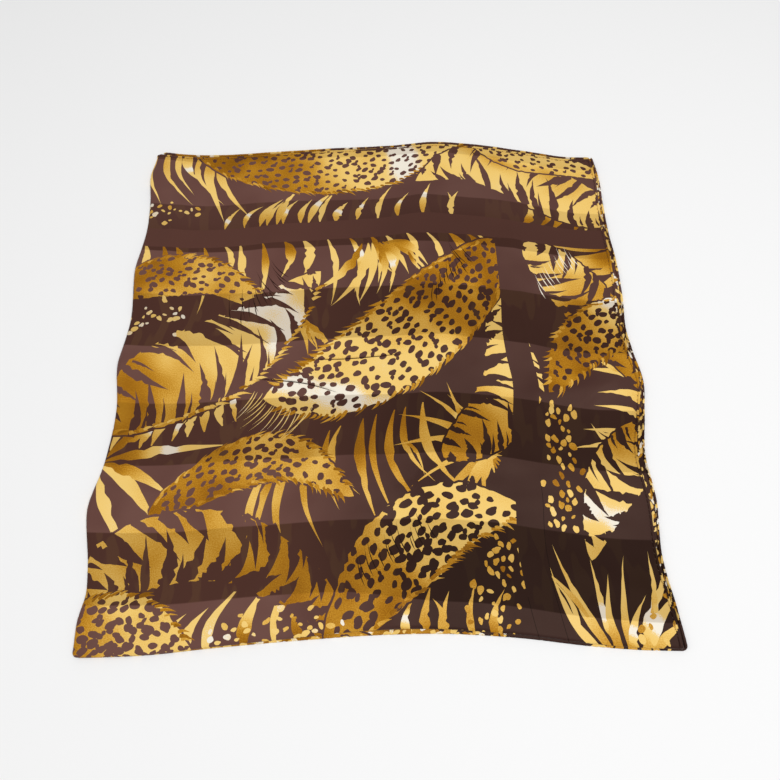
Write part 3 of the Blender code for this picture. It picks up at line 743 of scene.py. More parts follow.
def make_cloth(name, border, extra, backing, shapes, surface, material):
    """A thin closed cloth. Its printed face is cut along the print, and its back is a coarser copy."""
    border, *outlines = follow_bends([border] + [shape.outline for shape in shapes], surface)
    shapes = [shape._replace(outline=outline) for shape, outline in zip(shapes, outlines)]
    places, face, owner = cut_triangles(border, extra, shapes)
    ring = border_ring(face)
    back_places, back, _ = cut_triangles(places[ring], backing, [])

    face_points, back_points = surface(places), surface(back_places)
    face_normals, back_normals = surface_normals(surface, places), surface_normals(surface, back_places)
    back_points = back_points - SILK_WALL * back_normals
    back_points[:, 2] = np.maximum(back_points[:, 2], 0.1)  # clear of the ground

    # The border of the back is the same ring of places, found again by where they are.
    order = {tuple(np.round(place, 4)): k for k, place in enumerate(back_places)}
    back_ring = [order[tuple(np.round(places[k], 4))] + len(places) for k in ring]
    rim = []
    for k in range(len(ring)):
        here, there = ring[k], ring[(k + 1) % len(ring)]
        back_here, back_there = back_ring[k], back_ring[(k + 1) % len(ring)]
        rim.append((here, back_here, back_there))
        rim.append((here, back_there, there))
    rim = np.array(rim)
    back_face = back[:, ::-1] + len(places)
    faces = np.concatenate([face, back_face, rim])
    points = np.concatenate([face_points, back_points])

    normals = np.concatenate([face_normals, -back_normals])[faces]
    a, b, c = (points[rim[:, k]] for k in range(3))
    rim_normals = np.cross(b - a, c - a)
    rim_normals /= np.maximum(np.linalg.norm(rim_normals, axis=1), 1e-12)[:, None]
    normals[-len(rim) :] = rim_normals[:, None]

    tones = np.zeros((len(faces), 3))
    for number in np.unique(owner[owner >= 0]):
        rows = np.flatnonzero(owner == number)
        corners = places[face[rows]].reshape(-1, 2)
        tones[rows] = tone_at(shapes[number], corners).reshape(-1, 3)
    all_places = np.concatenate([places, back_places])[faces.ravel()]

    # The printed face fills most of a baked picture, with the back and the rim in strips beside it.
    low, span = places.min(0), np.ptp(places, axis=0)
    face_spots = (places[face] - low) / span
    back_spots = (back_places[back[:, ::-1]] - low) / span
    back_spots[..., 0] = 1 - back_spots[..., 0]
    start = np.arange(len(ring))[:, None] / len(ring) + np.zeros(6)
    rim_across = start + np.array([0, 0, 1, 0, 1, 1]) / len(ring)
    rim_up = np.zeros_like(start) + np.array([1, 0, 0, 1, 0, 1])
    rim_spots = np.stack([rim_across, rim_up], -1).reshape(-1, 3, 2)
    parts = ((FACE_PART, face_spots), (BACK_PART, back_spots), (RIM_PART, rim_spots))
    spots = np.concatenate([laid_out(part, spots) for part, spots in parts])
    return silk_piece(name, points, faces.tolist(), tones, all_places, spots, material, normals)


SATIN_PITCH = 105.4  # a satin band and a sheer band together, across the weave
SATIN_START = 15.3

Stop = namedtuple("Stop", "tone colour")
GOLD_STOPS = [
    Stop(0.2, (0.20, 0.078, 0.002)),
    Stop(0.33, (0.33, 0.13, 0.004)),
    Stop(0.45, (0.50, 0.232, 0.014)),
    Stop(0.58, (0.70, 0.40, 0.068)),
    Stop(0.72, (0.84, 0.56, 0.155)),
    Stop(0.9, (0.86, 0.60, 0.20)),
    Stop(1.0, (0.86, 0.80, 0.68)),
]
SATIN_BROWN = (0.120, 0.053, 0.043, 1.0)
SATIN_BROWN_PALE = (0.142, 0.067, 0.054, 1.0)
SHEER_BROWN = (0.064, 0.025, 0.018, 1.0)
SHEER_BROWN_PALE = (0.078, 0.034, 0.020, 1.0)
BAND_BROWN = (0.088, 0.036, 0.027, 1.0)
LINE_BROWN = (0.022, 0.008, 0.006, 1.0)
SHEER_GOLD = (0.17, 0.07, 0.004, 1.0)
SHEER_GOLD_DEPTH = 0.32


def link(tree, socket, source):
    """Joins an input to another node's output, or sets it to a value."""
    if isinstance(source, bpy.types.NodeSocket):
        tree.links.new(source, socket)
    else:
        socket.default_value = source


def add_math(tree, operation, *sources):
    node = tree.nodes.new("ShaderNodeMath")
    node.operation = operation
    for socket, source in zip(node.inputs, sources):
        link(tree, socket, source)
    return node.outputs[0]


def add_step(tree, value, low, high, new_low=0.0, new_high=1.0):
    """A value turned into a soft step, from new_low at low to new_high at high."""
    node = tree.nodes.new("ShaderNodeMapRange")
    node.interpolation_type = "SMOOTHSTEP"
    for socket, source in zip(node.inputs, (value, low, high, new_low, new_high)):
        link(tree, socket, source)
    return node.outputs[0]


def add_noise(tree, vector, stretch, detail):
    """Noise over the cloth. The stretch gives how many grains there are in a metre, each way."""
    mapping = tree.nodes.new("ShaderNodeMapping")
    mapping.inputs["Scale"].default_value = stretch
    link(tree, mapping.inputs["Vector"], vector)
    noise = tree.nodes.new("ShaderNodeTexNoise")
    link(tree, noise.inputs["Vector"], mapping.outputs["Vector"])
    noise.inputs["Scale"].default_value = 1.0
    noise.inputs["Detail"].default_value = detail
    return noise.outputs["Fac"]


def add_mix(tree, share, first, second):
    """A colour between two others."""
    node = tree.nodes.new("ShaderNodeMix")
    node.data_type = "RGBA"
    colour_sockets = [socket for socket in node.inputs if socket.type == "RGBA"]
    link(tree, node.inputs[0], share)
    link(tree, colour_sockets[0], first)
    link(tree, colour_sockets[1], second)
    return next(socket for socket in node.outputs if socket.type == "RGBA")


def printed_silk(name):
    """Brown silk printed in gold, woven in satin bands and thinner, sheer bands that look darker."""
    material = bpy.data.materials.new(name)
    material.use_nodes = True
    tree = material.node_tree
    shader = tree.nodes["Principled BSDF"]
    dye = tree.nodes.new("ShaderNodeAttribute")
    dye.attribute_name = "dye"
    silk_map = tree.nodes.new("ShaderNodeUVMap")
    silk_map.uv_map = "silk"
    cloth = silk_map.outputs["UV"]
    split = tree.nodes.new("ShaderNodeSeparateXYZ")
    link(tree, split.inputs[0], cloth)

    # The bands run with the weft, which lies a little askew and is drawn closer at the far side.
    across, along = split.outputs["X"], split.outputs["Y"]
    weft = add_math(tree, "MULTIPLY_ADD", across, 0.018, along)
    weft = add_math(tree, "ADD", weft, add_step(tree, along, 0.05, 0.12, -0.0018, 0.0067))
    near_droop = add_step(tree, along, -0.19, -0.14, 0.008, 0.0)
    droop = add_math(tree, "MULTIPLY", near_droop, add_step(tree, across, -0.04, 0.06))
    weft = add_math(tree, "ADD", weft, droop)
    sway = add_noise(tree, cloth, (9, 9, 9), 1.0)
    weft = add_math(tree, "MULTIPLY_ADD", sway, 0.004, add_math(tree, "SUBTRACT", weft, 0.002))
    turns = add_math(tree, "MULTIPLY_ADD", weft, 1000 / SATIN_PITCH, SATIN_START / SATIN_PITCH)
    sheer = add_step(tree, add_math(tree, "PINGPONG", turns, 0.5), 0.244, 0.256)
    sheer = add_math(tree, "MULTIPLY", sheer, add_step(tree, along, 0.12, 0.16, 1.0, 0.75))

    # The layers below show faintly through the sheer bands.
    ghost = add_step(tree, add_noise(tree, cloth, (75, 24, 1), 1.0), 0.54, 0.58)
    cloudy = add_noise(tree, cloth, (14, 14, 14), 2.0)
    fleck = add_noise(tree, cloth, (1200, 1200, 1), 2.0)

    satin = add_mix(tree, add_step(tree, cloudy, 0.35, 0.65), SATIN_BROWN, SATIN_BROWN_PALE)
    thin = add_mix(tree, ghost, SHEER_BROWN, SHEER_BROWN_PALE)
    ground = add_mix(tree, sheer, satin, thin)
    ground = add_mix(tree, add_step(tree, dye.outputs["Fac"], -0.2, -0.1), BAND_BROWN, ground)
    ground = add_mix(tree, add_step(tree, dye.outputs["Fac"], -0.6, -0.4), LINE_BROWN, ground)
    # Painted shade: the brown ground is darkened most right of the middle, and more towards the near fold.
    near_painted_shade = add_step(tree, along, -0.2, 0.24, 0.72, 0.12)
    painted_shade = add_math(tree, "MULTIPLY", add_step(tree, across, -0.1, 0.06), near_painted_shade)
    ground = add_mix(tree, painted_shade, ground, (0.0, 0.0, 0.0, 1.0))

    # The gold is airbrushed, so its tones run into each other in fine flecks.
    patch = add_noise(tree, cloth, (26, 26, 26), 1.0)
    spread = add_math(tree, "MULTIPLY_ADD", fleck, 0.4, -0.2)
    spread = add_math(tree, "ADD", spread, add_math(tree, "MULTIPLY_ADD", patch, 0.5, -0.25))
    tone = add_math(tree, "ADD", dye.outputs["Fac"], spread)
    ramp = tree.nodes.new("ShaderNodeValToRGB")
    while len(ramp.color_ramp.elements) < len(GOLD_STOPS):
        ramp.color_ramp.elements.new(0.5)
    for element, stop in zip(ramp.color_ramp.elements, GOLD_STOPS):
        element.position = stop.tone
        element.color = (*stop.colour, 1.0)
    link(tree, ramp.inputs[0], tone)
    dimmed = add_mix(tree, SHEER_GOLD_DEPTH, ramp.outputs["Color"], SHEER_GOLD)
    gold = add_mix(tree, sheer, ramp.outputs["Color"], dimmed)
    printed = add_math(tree, "GREATER_THAN", dye.outputs["Fac"], 0.1)
    link(tree, shader.inputs["Base Color"], add_mix(tree, printed, ground, gold))

    link(tree, shader.inputs["Roughness"], add_step(tree, sheer, 0.0, 1.0, 0.42, 0.6))
    shader.inputs["Specular IOR Level"].default_value = 0.1
    shader.inputs["Specular Tint"].default_value = (1.0, 0.7, 0.55, 1.0)
    shader.inputs["Sheen Weight"].default_value = 0.02
    shader.inputs["Sheen Roughness"].default_value = 0.4

    threads = add_noise(tree, cloth, (260, 3000, 1), 2.0)
    warp = add_noise(tree, cloth, (3000, 500, 1), 1.0)
    bump = tree.nodes.new("ShaderNodeBump")
    bump.inputs["Strength"].default_value = 0.25
    bump.inputs["Distance"].default_value = 0.00012
    link(tree, bump.inputs["Height"], add_math(tree, "ADD", threads, warp))
    link(tree, shader.inputs["Normal"], bump.outputs["Normal"])
    return material


def grid_places(x_range, y_range, pitch):
    """A regular grid of places, every other row moved over by half a step."""
    xs = np.arange(*x_range, pitch)
    ys = np.arange(*y_range, pitch * 0.87)
    x, y = np.meshgrid(xs, ys)
    x = x + 0.5 * pitch * (np.arange(len(ys)) % 2)[:, None]
    return np.stack([x.ravel(), y.ravel()], -1)


def well_inside(border, places, clear):
    """The places that lie within a border and clear of it."""
    kept = []
    for block in np.array_split(places, len(places) // 2000 + 1):
        away = np.hypot(*(block[:, None] - border[None]).transpose(2, 0, 1)).min(1)
        kept.append(block[inside(border, block) & (away > clear)])
    return np.concatenate(kept)


silk = printed_silk("printed_silk")
upper_border = cloth_border(
    left=lambda v: LEFT_LINE - LEFT_LENGTH,
    right=upper_right,
    near=lambda u: near_line(u) - NEAR_LENGTH,
    far=lambda u: UPPER_FAR,
)
# Its face and back are made on grids of places, with close rows along the rounds and the pinched creases.
FACE_PITCH, BACK_PITCH, ROUND_PITCH, CREASE_PITCH, CORNER_PITCH = 4.2, 9.0, 2.6, 2.5, 0.9
FACE_CLEAR, BACK_CLEAR = 0.6, 1.5  # how far these places keep from the cloth's border
ACROSS, ALONG = (-220, 226), (-226, 226)
round_rows = []
along_left = np.arange(-236, 240, ROUND_PITCH)
along_near = np.arange(-236, 234, ROUND_PITCH)
for depth in np.linspace(0.3, LEFT_LENGTH - 0.5, 13):
    round_rows.append(np.stack([LEFT_LINE - depth + 0 * along_left, along_left], -1))
for depth in np.linspace(0.3, NEAR_LENGTH - 0.4, 9):
    round_rows.append(np.stack([along_near, near_line(along_near) - depth], -1))
for corner_y in (near_line(LEFT_LINE) - NEAR_LENGTH, UPPER_FAR - 10):
    corner_x = LEFT_LINE - LEFT_LENGTH
    round_rows.append(grid_places((corner_x, corner_x + 13), (corner_y, corner_y + 10), CORNER_PITCH))
crease_rows = []
for crease in PINCHED_CREASES:
    along = np.arange(crease.places[0][0], crease.places[-1][0], CREASE_PITCH)
    for away in (-2.0, -1.1, -0.65, -0.3, 0.0, 0.3, 0.65, 1.1, 2.0, 3.2):
        crease_rows.append(np.stack([along, smooth_through(crease.places, along) + away], -1))
thin_rows = [row[::3] for row in round_rows[::2]]
upper_grid = np.concatenate([grid_places(ACROSS, ALONG, FACE_PITCH)] + round_rows + crease_rows)
upper_backing = np.concatenate([grid_places(ACROSS, ALONG, BACK_PITCH)] + thin_rows + crease_rows)
upper_cloth = make_cloth(
    "upper_cloth",
    upper_border,
    well_inside(upper_border, upper_grid, FACE_CLEAR),
    well_inside(upper_border, upper_backing, BACK_CLEAR),
    inks,
    upper_surface,
    silk,
)
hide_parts("top_layer")
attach(upper_cloth, "root")

# ---- Second cloth -----------------------------------------------------------------------------------------
# The quarter under the upper one, which the near fold joins to it. Only its margin shows, beyond the upper
# cloth's hems on the right and far sides, where a closely dabbed border of the print lies.

SECOND_DEPTH = 1.5  # under the upper cloth's face
SECOND_IN = 2.2  # its cut sides lie this far inside the packet's outline, in the roll of its hem
SECOND_FOOT = UPPER_PAIR_FOOT + 0.6  # its height at the near fold
SECOND_CLIMB = 9.0  # the distance from the fold over which it comes up to the rest
SECOND_FACE_PITCH, SECOND_BACK_PITCH, SECOND_FACE_CLEAR = 7.0, 9.0, 1.0
SECOND_ALONG = (-226, 228)
LOWER_HEM_RADIUS = 1.15
LOWER_HEM_HEIGHT = 3.1  # of its middle


def second_surface(places):
    """The second cloth keeps to the upper one, and near the fold it comes down to where that turned under."""
    u, v = places[:, 0], places[:, 1]
    x, y = on_table(u, v)
    from_fold = soft_step((v - near_line(u)) / SECOND_CLIMB)
    z = SECOND_FOOT + (UPPER_HEIGHT - SECOND_DEPTH - SECOND_FOOT) * from_fold
    return np.stack([x, y, z + np.maximum(silk_rise(u, v, x, y), 0.0) * from_fold], -1)


DAB_TONES = (0.4, 0.7, 0.76, 0.8, 1.0)


def margin_dabs(count, side, reach, first=-1.0, last=1.0):
    """Dabs of the print's border along a side of the packet, between two shares of it, in their own order."""
    before = len(inks)
    for share in random.uniform(first, last, count):
        inward = random.uniform(-3, reach)
        place, heading = {
            "right": ((HALF_WIDTH - inward, HALF_DEPTH * share), 80),
            "far": ((HALF_WIDTH * share, HALF_DEPTH - inward), 5),
            "near": ((HALF_WIDTH * share, inward - HALF_DEPTH), 0),
        }[side]
        size = random.uniform(1.4, 3.4)
        tone = random.choice(DAB_TONES)
        turned = heading + random.normal(0, 28)
        spot(np.array(place), turned, size, size * random.uniform(0.35, 0.6), tone, 7, 0.3)
    dabs = inks[before:]
    del inks[before:]
    return dabs


# The border has a long gold patch at the far side and one at the near side, and dabs along its edge.
ink([(-216, 226), (-190, 215), (-84, 215), (-40, 226), (-84, 238), (-190, 238)], OCHRE)
ink([(-134, -229), (-108, -219), (22, -219), (50, -229), (22, -240), (-108, -240)], OCHRE)
border_inks = inks[-2:]
del inks[-2:]
border_inks += margin_dabs(360, "right", 12, -0.9) + margin_dabs(210, "far", 10)
border_inks += margin_dabs(120, "near", 8, -0.62, 0.35) + margin_dabs(22, "near", 8, 0.35, 0.8)
second_border = cloth_border(
    left=lambda v: LEFT_LINE + 1.0,
    right=lambda v: HALF_WIDTH - SECOND_IN,
    near=lambda u: near_line(u) + 0.5,
    far=lambda u: HALF_DEPTH - SECOND_IN,
)
second_cloth = make_cloth(
    "second_cloth",
    second_border,
    well_inside(second_border, grid_places(ACROSS, SECOND_ALONG, SECOND_FACE_PITCH), SECOND_FACE_CLEAR),
    well_inside(second_border, grid_places(ACROSS, SECOND_ALONG, SECOND_BACK_PITCH), BACK_CLEAR),
    border_inks,
    second_surface,
    silk,
)
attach(second_cloth, "root")

# ---- Lower cloth ------------------------------------------------------------------------------------------
# The two lowest quarters, one cloth doubled at the near fold. Its underside is the printed face that lies
# flat on the table, and its near fold shows as a thin line under the upper one.

PAIR_HEIGHT = 1.6
PAIR_REACH = 1.3
PAIR_ROUND = fold_round(PAIR_REACH, PAIR_HEIGHT / 2)
PAIR_LENGTH = np.interp(math.pi / 2, -PAIR_ROUND[1], PAIR_ROUND[0])
LOWEST_HEM_RADIUS = 0.75
LOWER_FACE_PITCH, LOWER_BACK_PITCH = 8.0, 12.0
LOWER_ALONG = (-686, 228)
CORNER_DRAWN, CORNER_WIDTH = 0.5, 3.4  # past the left line its near fold draws back, and runs on this far
PAIR_LINE = PAIR_REACH - HALF_DEPTH  # where its flat ends and the round of its near fold begins
TURN_LINE = PAIR_LINE - PAIR_LENGTH  # where the round ends and the underside begins


def lower_surface(places):
    """The lower cloth, from its upper layer round the near fold and back along the ground."""
    u, v = places[:, 0], places[:, 1]
    past = np.clip(PAIR_LINE - v, 0.0, PAIR_LENGTH)
    turn = np.interp(past, *PAIR_ROUND)
    under = np.maximum(TURN_LINE - v, 0.0)
    # Next to the left fold it draws back under the upper cloth.
    beside = soft_step((LEFT_LINE + 0.5 - u) / CORNER_WIDTH)
    drawn = CORNER_DRAWN * beside * soft_step((PAIR_LINE + 6.0 - v) / 4.0)
    x, y = on_table(u, np.maximum(v, PAIR_LINE) + under - PAIR_REACH * np.cos(turn) + drawn)
    return np.stack([x, y, PAIR_HEIGHT / 2 * (1 + np.sin(turn))], -1)


def lower_left(v):
    """Where the lower cloth ends under the left fold. Its near fold runs on a little further there."""
    from_fold = (v - PAIR_LINE + 0.4 * PAIR_LENGTH) / 1.4
    return LEFT_LINE + 0.1 - CORNER_WIDTH * np.exp(-(from_fold**2))


lower_border = cloth_border(
    left=lower_left,
    right=lambda v: HALF_WIDTH - LOWEST_HEM_RADIUS,
    near=lambda u: TURN_LINE + PAIR_LINE - HALF_DEPTH + LOWEST_HEM_RADIUS,
    far=lambda u: HALF_DEPTH - LOWEST_HEM_RADIUS,
)
# The print mirrors itself at the near fold, so the underside has the same leaves the other way round.
under_inks = []
for shape in inks:
    ways = (shape.outline, shape.start, shape.end)
    outline, start, end = (places * (1, -1) + (0, TURN_LINE + PAIR_LINE) for places in ways)
    under_inks.append(shape._replace(outline=outline, start=start, end=end))
pair_rows = []
for depth in np.linspace(0.2, PAIR_LENGTH + 0.4, 8):
    pair_rows.append(np.stack([along_near, PAIR_LINE - depth + 0 * along_near], -1))
lower_grid = np.concatenate([grid_places(ACROSS, LOWER_ALONG, LOWER_FACE_PITCH)] + pair_rows)
lower_backing = np.concatenate([grid_places(ACROSS, LOWER_ALONG, LOWER_BACK_PITCH)] + pair_rows[::2])
lower_cloth = make_cloth(
    "lower_cloth",
    lower_border,
    well_inside(lower_border, lower_grid, FACE_CLEAR),
    well_inside(lower_border, lower_backing, BACK_CLEAR),
    border_inks + under_inks,
    lower_surface,
    silk,
)
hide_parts("under_layers")
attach(lower_cloth, "root")

# ---- Rolled hems ------------------------------------------------------------------------------------------
# Each cut side is rolled over by hand into a thin, slightly uneven cord of the same silk, so the print runs
# on over it. The hems of the four layers lie beside and under each other along the right and far sides.

HEM_SIDES = 12
HEM_STEP = 1.4
HEM_WAVER, HEM_ROUGH = 0.07, 0.03  # how much its girth changes slowly, and from step to step
STITCH_PITCH = 4.2
STITCH_PULL = 0.10  # how much each stitch draws the roll in
END_GIRTH, NEXT_GIRTH = 0.35, 0.8  # it is drawn in at its two ends
EDGE_PLACES = 400  # along each edge that a hem follows
# Where a hem and its two ends lie in its baked picture
CORD_PART = ((0.01, 0.01), (0.93, 0.98))
FIRST_END = ((0.97, 0.1), 0.015)
LAST_END = ((0.97, 0.2), 0.015)


def tone_of_print(places, shapes):
    """The tone of the uppermost shape at each place, or of the bare ground."""
    owner = shape_at(places, shapes)
    tones = np.zeros(len(places))
    for number in np.unique(owner[owner >= 0]):
        rows = owner == number
        tones[rows] = tone_at(shapes[number], places[rows])
    return tones


def rolled_hem(name, places, surface, outward, radius, shapes, node=None, swell=0.0):
    """A hem rolled along the edge of a cloth. Its girth wavers, and each stitch draws it in a little.

    Places are those of the edge on the cloth, surface gives their points, and outward is the way out from the
    cloth at them. The swell thickens the near end, where the hem turns under.
    """
    path = surface(places)
    lengths = np.concatenate([[0], np.cumsum(np.linalg.norm(np.diff(path, axis=0), axis=1))])
    count = int(lengths[-1] / HEM_STEP)
    at = np.linspace(0, lengths[-1], count)
    path = np.stack([np.interp(at, lengths, path[:, k]) for k in range(3)], -1)
    edge = np.stack([np.interp(at, lengths, places[:, k]) for k in range(2)], -1)
    ahead = np.gradient(path, axis=0)
    ahead /= np.linalg.norm(ahead, axis=1)[:, None]
    aside = np.cross(ahead, (0.0, 0.0, 1.0))
    aside /= np.linalg.norm(aside, axis=1)[:, None]
    above = np.cross(aside, ahead)
    waver = HEM_WAVER * np.sin(at / 5.3) * np.sin(at / 13.7 + 1)
    girth = radius * (1 + waver + random.uniform(-HEM_ROUGH, HEM_ROUGH, count))
    girth *= 1 - STITCH_PULL * np.cos(2 * math.pi * at / STITCH_PITCH) ** 8
    girth *= 1 + swell * np.exp(-((at / 5) ** 2))
    girth[[0, -1]] *= END_GIRTH
    girth[[1, -2]] *= NEXT_GIRTH
    turns = 2 * math.pi * (np.arange(HEM_SIDES) + 0.5) / HEM_SIDES
    ways = np.cos(turns)[None, :, None] * aside[:, None] + np.sin(turns)[None, :, None] * above[:, None]
    rings = path[:, None] + girth[:, None, None] * ways
    # The rolled margin is laid out flat beyond the edge to find its print.
    over = radius * (1.2 + 1.4 * np.cos(turns) + 0.9 * np.sin(turns))
    spread = edge[:, None] + over[None, :, None] * np.array(outward)
    faces = []
    for ring in range(count - 1):
        for k in range(HEM_SIDES):
            a, b = ring * HEM_SIDES + k, ring * HEM_SIDES + (k + 1) % HEM_SIDES
            faces.append((a, b, b + HEM_SIDES, a + HEM_SIDES))
    last = (count - 1) * HEM_SIDES
    faces.append(tuple(range(HEM_SIDES - 1, -1, -1)))
    faces.append(tuple(range(last, last + HEM_SIDES)))

    flat = spread.reshape(-1, 2)
    tones = tone_of_print(flat, shapes)
    dye = np.array([tones[face[0]] for face in faces for _ in face])
    corners = np.concatenate([flat[list(face)] for face in faces])

    # In a baked picture the cord is slit along its length and laid flat, with its two ends beside it.
    spots = []
    for ring in range(count - 1):
        for k in range(HEM_SIDES):
            spots += [(k, ring), (k + 1, ring), (k + 1, ring + 1), (k, ring + 1)]
    spots = laid_out(CORD_PART, np.array(spots) / (HEM_SIDES, count - 1))
    end_spots = np.stack([np.cos(turns), np.sin(turns)], -1)
    first_end, last_end = laid_out(FIRST_END, end_spots[::-1] * (-1, 1)), laid_out(LAST_END, end_spots)
    spots = np.concatenate([spots, first_end, last_end])
    hem = silk_piece(name, rings.reshape(-1, 3), faces, dye, corners, spots, silk)
    if node:
        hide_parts(node)
    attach(hem, "root")
    return hem


HEM_SEAT = 0.6 * HEM_RADIUS  # the roll's middle lies this far out from the edge of the upper cloth
HEM_SINK = 0.1  # and this far below its face


def upper_right_path(places):
    return upper_surface(places) + (HEM_SEAT, 0, -HEM_SINK)


def upper_far_path(places):
    return upper_surface(places) + (0, HEM_SEAT, -HEM_SINK)


def level_path(height):
    """A path on the packet at one height."""

    def surface(places):
        x, y = on_table(places[:, 0], places[:, 1])
        return np.stack([x, y, np.full(len(x), height)], -1)

    return surface


def lower_edges(inset, radius, near_gap, far_gap):
    """The right and far edges of a lower cloth. The right one leaves a gap at each of its ends."""
    u, v = HALF_WIDTH - inset, HALF_DEPTH - inset
    right = np.linspace((u, near_gap - HALF_DEPTH), (u, HALF_DEPTH - far_gap), EDGE_PLACES)
    far = np.linspace((LEFT_LINE, v), (u - 2 * radius, v), EDGE_PLACES)
    return right, far


RIGHT, FAR = (1, 0), (0, 1)
v = np.linspace(near_line(HALF_WIDTH) - 0.45 * NEAR_LENGTH, UPPER_FAR + HEM_REACH, EDGE_PLACES)
right_places = np.stack([upper_right(v), v], -1)
u = np.linspace(LEFT_LINE - 0.6 * LEFT_LENGTH, upper_right(UPPER_FAR) - HEM_SEAT, EDGE_PLACES)
far_places = np.stack([u, UPPER_FAR + 0 * u], -1)
upper_radius = 0.92 * HEM_RADIUS
right_hem = rolled_hem(
    "right_rolled_hem", right_places, upper_right_path, RIGHT, upper_radius, inks, "right_hem", swell=0.6
)
far_hem = rolled_hem("far_rolled_hem", far_places, upper_far_path, FAR, upper_radius, inks, "far_hem")

second_right, second_far = lower_edges(0.4 + LOWER_HEM_RADIUS, LOWER_HEM_RADIUS, 1.5, 1.0)
second_path = level_path(LOWER_HEM_HEIGHT)
second_hem = (LOWER_HEM_RADIUS, border_inks)
second_right_hem = rolled_hem(
    "second_right_hem", second_right, second_path, RIGHT, *second_hem, "right_hem_below"
)
second_far_hem = rolled_hem("second_far_hem", second_far, second_path, FAR, *second_hem, "far_hem_below")

lowest_right, lowest_far = lower_edges(LOWEST_HEM_RADIUS, LOWEST_HEM_RADIUS, 0.8, 0.6)
lowest_path = level_path(1.1 * LOWEST_HEM_RADIUS)
lowest_hem = (LOWEST_HEM_RADIUS, border_inks)
lowest_right_hem = rolled_hem("lowest_right_hem", lowest_right, lowest_path, RIGHT, *lowest_hem)
lowest_far_hem = rolled_hem("lowest_far_hem", lowest_far, lowest_path, FAR, *lowest_hem)

# ---- Slip stitches ----------------------------------------------------------------------------------------
# One brown silk thread holds each of the upper hems. Only its short slanting stitches show, where it comes
# out between the roll and the cloth, about four millimetres apart.

THREAD_RADIUS = 0.13
STITCH_LENGTH = 1.5
STITCH_SLANT, STITCH_LOOSE = 0.7, 0.25  # in radians, and how far each one turns from that
STITCH_IN, STITCH_UP = 0.95 * HEM_RADIUS, 0.45  # where they lie from the middle of the roll

thread = bpy.data.materials.new("sewing_thread")
thread.use_nodes = True
thread_tree = thread.node_tree
thread_shader = thread_tree.nodes["Principled BSDF"]
thread_shader.inputs["Roughness"].default_value = 0.5
thread_place = thread_tree.nodes.new("ShaderNodeTexCoord")
thread_fleck = add_noise(thread_tree, thread_place.outputs["Object"], (900, 900, 900), 1.0)
thread_colour = add_mix(thread_tree, thread_fleck, (0.05, 0.025, 0.018, 1.0), (0.16, 0.09, 0.06, 1.0))
link(thread_tree, thread_shader.inputs["Base Color"], thread_colour)


def stitch_tree():
    """A node tree that sets a short slanting thread at each pitch along a path."""
    tree = bpy.data.node_groups.new("slip_stitches", "GeometryNodeTree")
    tree.interface.new_socket("Path", in_out="INPUT", socket_type="NodeSocketGeometry")
    lengths = {"Pitch": STITCH_PITCH * MM, "Length": STITCH_LENGTH * MM, "Radius": THREAD_RADIUS * MM}
    for name, value in {**lengths, "Slant": STITCH_SLANT}.items():
        socket = tree.interface.new_socket(name, in_out="INPUT", socket_type="NodeSocketFloat")
        socket.default_value = value
    tree.interface.new_socket("Thread", in_out="INPUT", socket_type="NodeSocketMaterial")
    tree.interface.new_socket("Stitches", in_out="OUTPUT", socket_type="NodeSocketGeometry")

    def node(kind, **sources):
        item = tree.nodes.new(kind)
        for name, source in sources.items():
            link(tree, item.inputs[name.replace("_", " ")], source)
        return item

    given = tree.nodes.new("NodeGroupInput").outputs
    path = node("GeometryNodeMeshToCurve", Mesh=given["Path"])
    spaced = node("GeometryNodeResampleCurve", Curve=path.outputs[0])
    spaced.mode = "LENGTH"
    link(tree, spaced.inputs["Length"], given["Pitch"])
    along = node("GeometryNodeInputTangent")
    way = node("FunctionNodeAlignEulerToVector", Vector=along.outputs[0])
    way.axis = "X"
    loose = node("FunctionNodeRandomValue")
    loose.data_type = "FLOAT"
    link(tree, loose.inputs[2], -STITCH_LOOSE)
    link(tree, loose.inputs[3], STITCH_LOOSE)
    loose.inputs["Seed"].default_value = 7
    turn = node("ShaderNodeCombineXYZ", Z=add_math(tree, "ADD", given["Slant"], loose.outputs[1]))
    slanted = node("FunctionNodeRotateEuler", Rotation=way.outputs[0], Rotate_By=turn.outputs[0])
    slanted.space = "LOCAL"

    bow = node("GeometryNodeCurveQuadraticBezier")
    for place, axis, share in (("Start", "X", -0.5), ("Middle", "Z", 0.35), ("End", "X", 0.5)):
        corner = node("ShaderNodeCombineXYZ", **{axis: add_math(tree, "MULTIPLY", given["Length"], share)})
        link(tree, bow.inputs[place], corner.outputs[0])
    bow.inputs["Resolution"].default_value = 4
    round_profile = node("GeometryNodeCurvePrimitiveCircle", Radius=given["Radius"])
    round_profile.inputs["Resolution"].default_value = 6
    stitch = node("GeometryNodeCurveToMesh", Curve=bow.outputs[0], Profile_Curve=round_profile.outputs[0])
    stitch.inputs["Fill Caps"].default_value = True
    placed = node("GeometryNodeInstanceOnPoints", Points=spaced.outputs[0], Instance=stitch.outputs[0])
    link(tree, placed.inputs["Rotation"], slanted.outputs[0])
    real = node("GeometryNodeRealizeInstances", Geometry=placed.outputs[0])
    coloured = node("GeometryNodeSetMaterial", Geometry=real.outputs[0], Material=given["Thread"])
    result = tree.nodes.new("NodeGroupOutput")
    link(tree, result.inputs[0], coloured.outputs[0])
    return tree


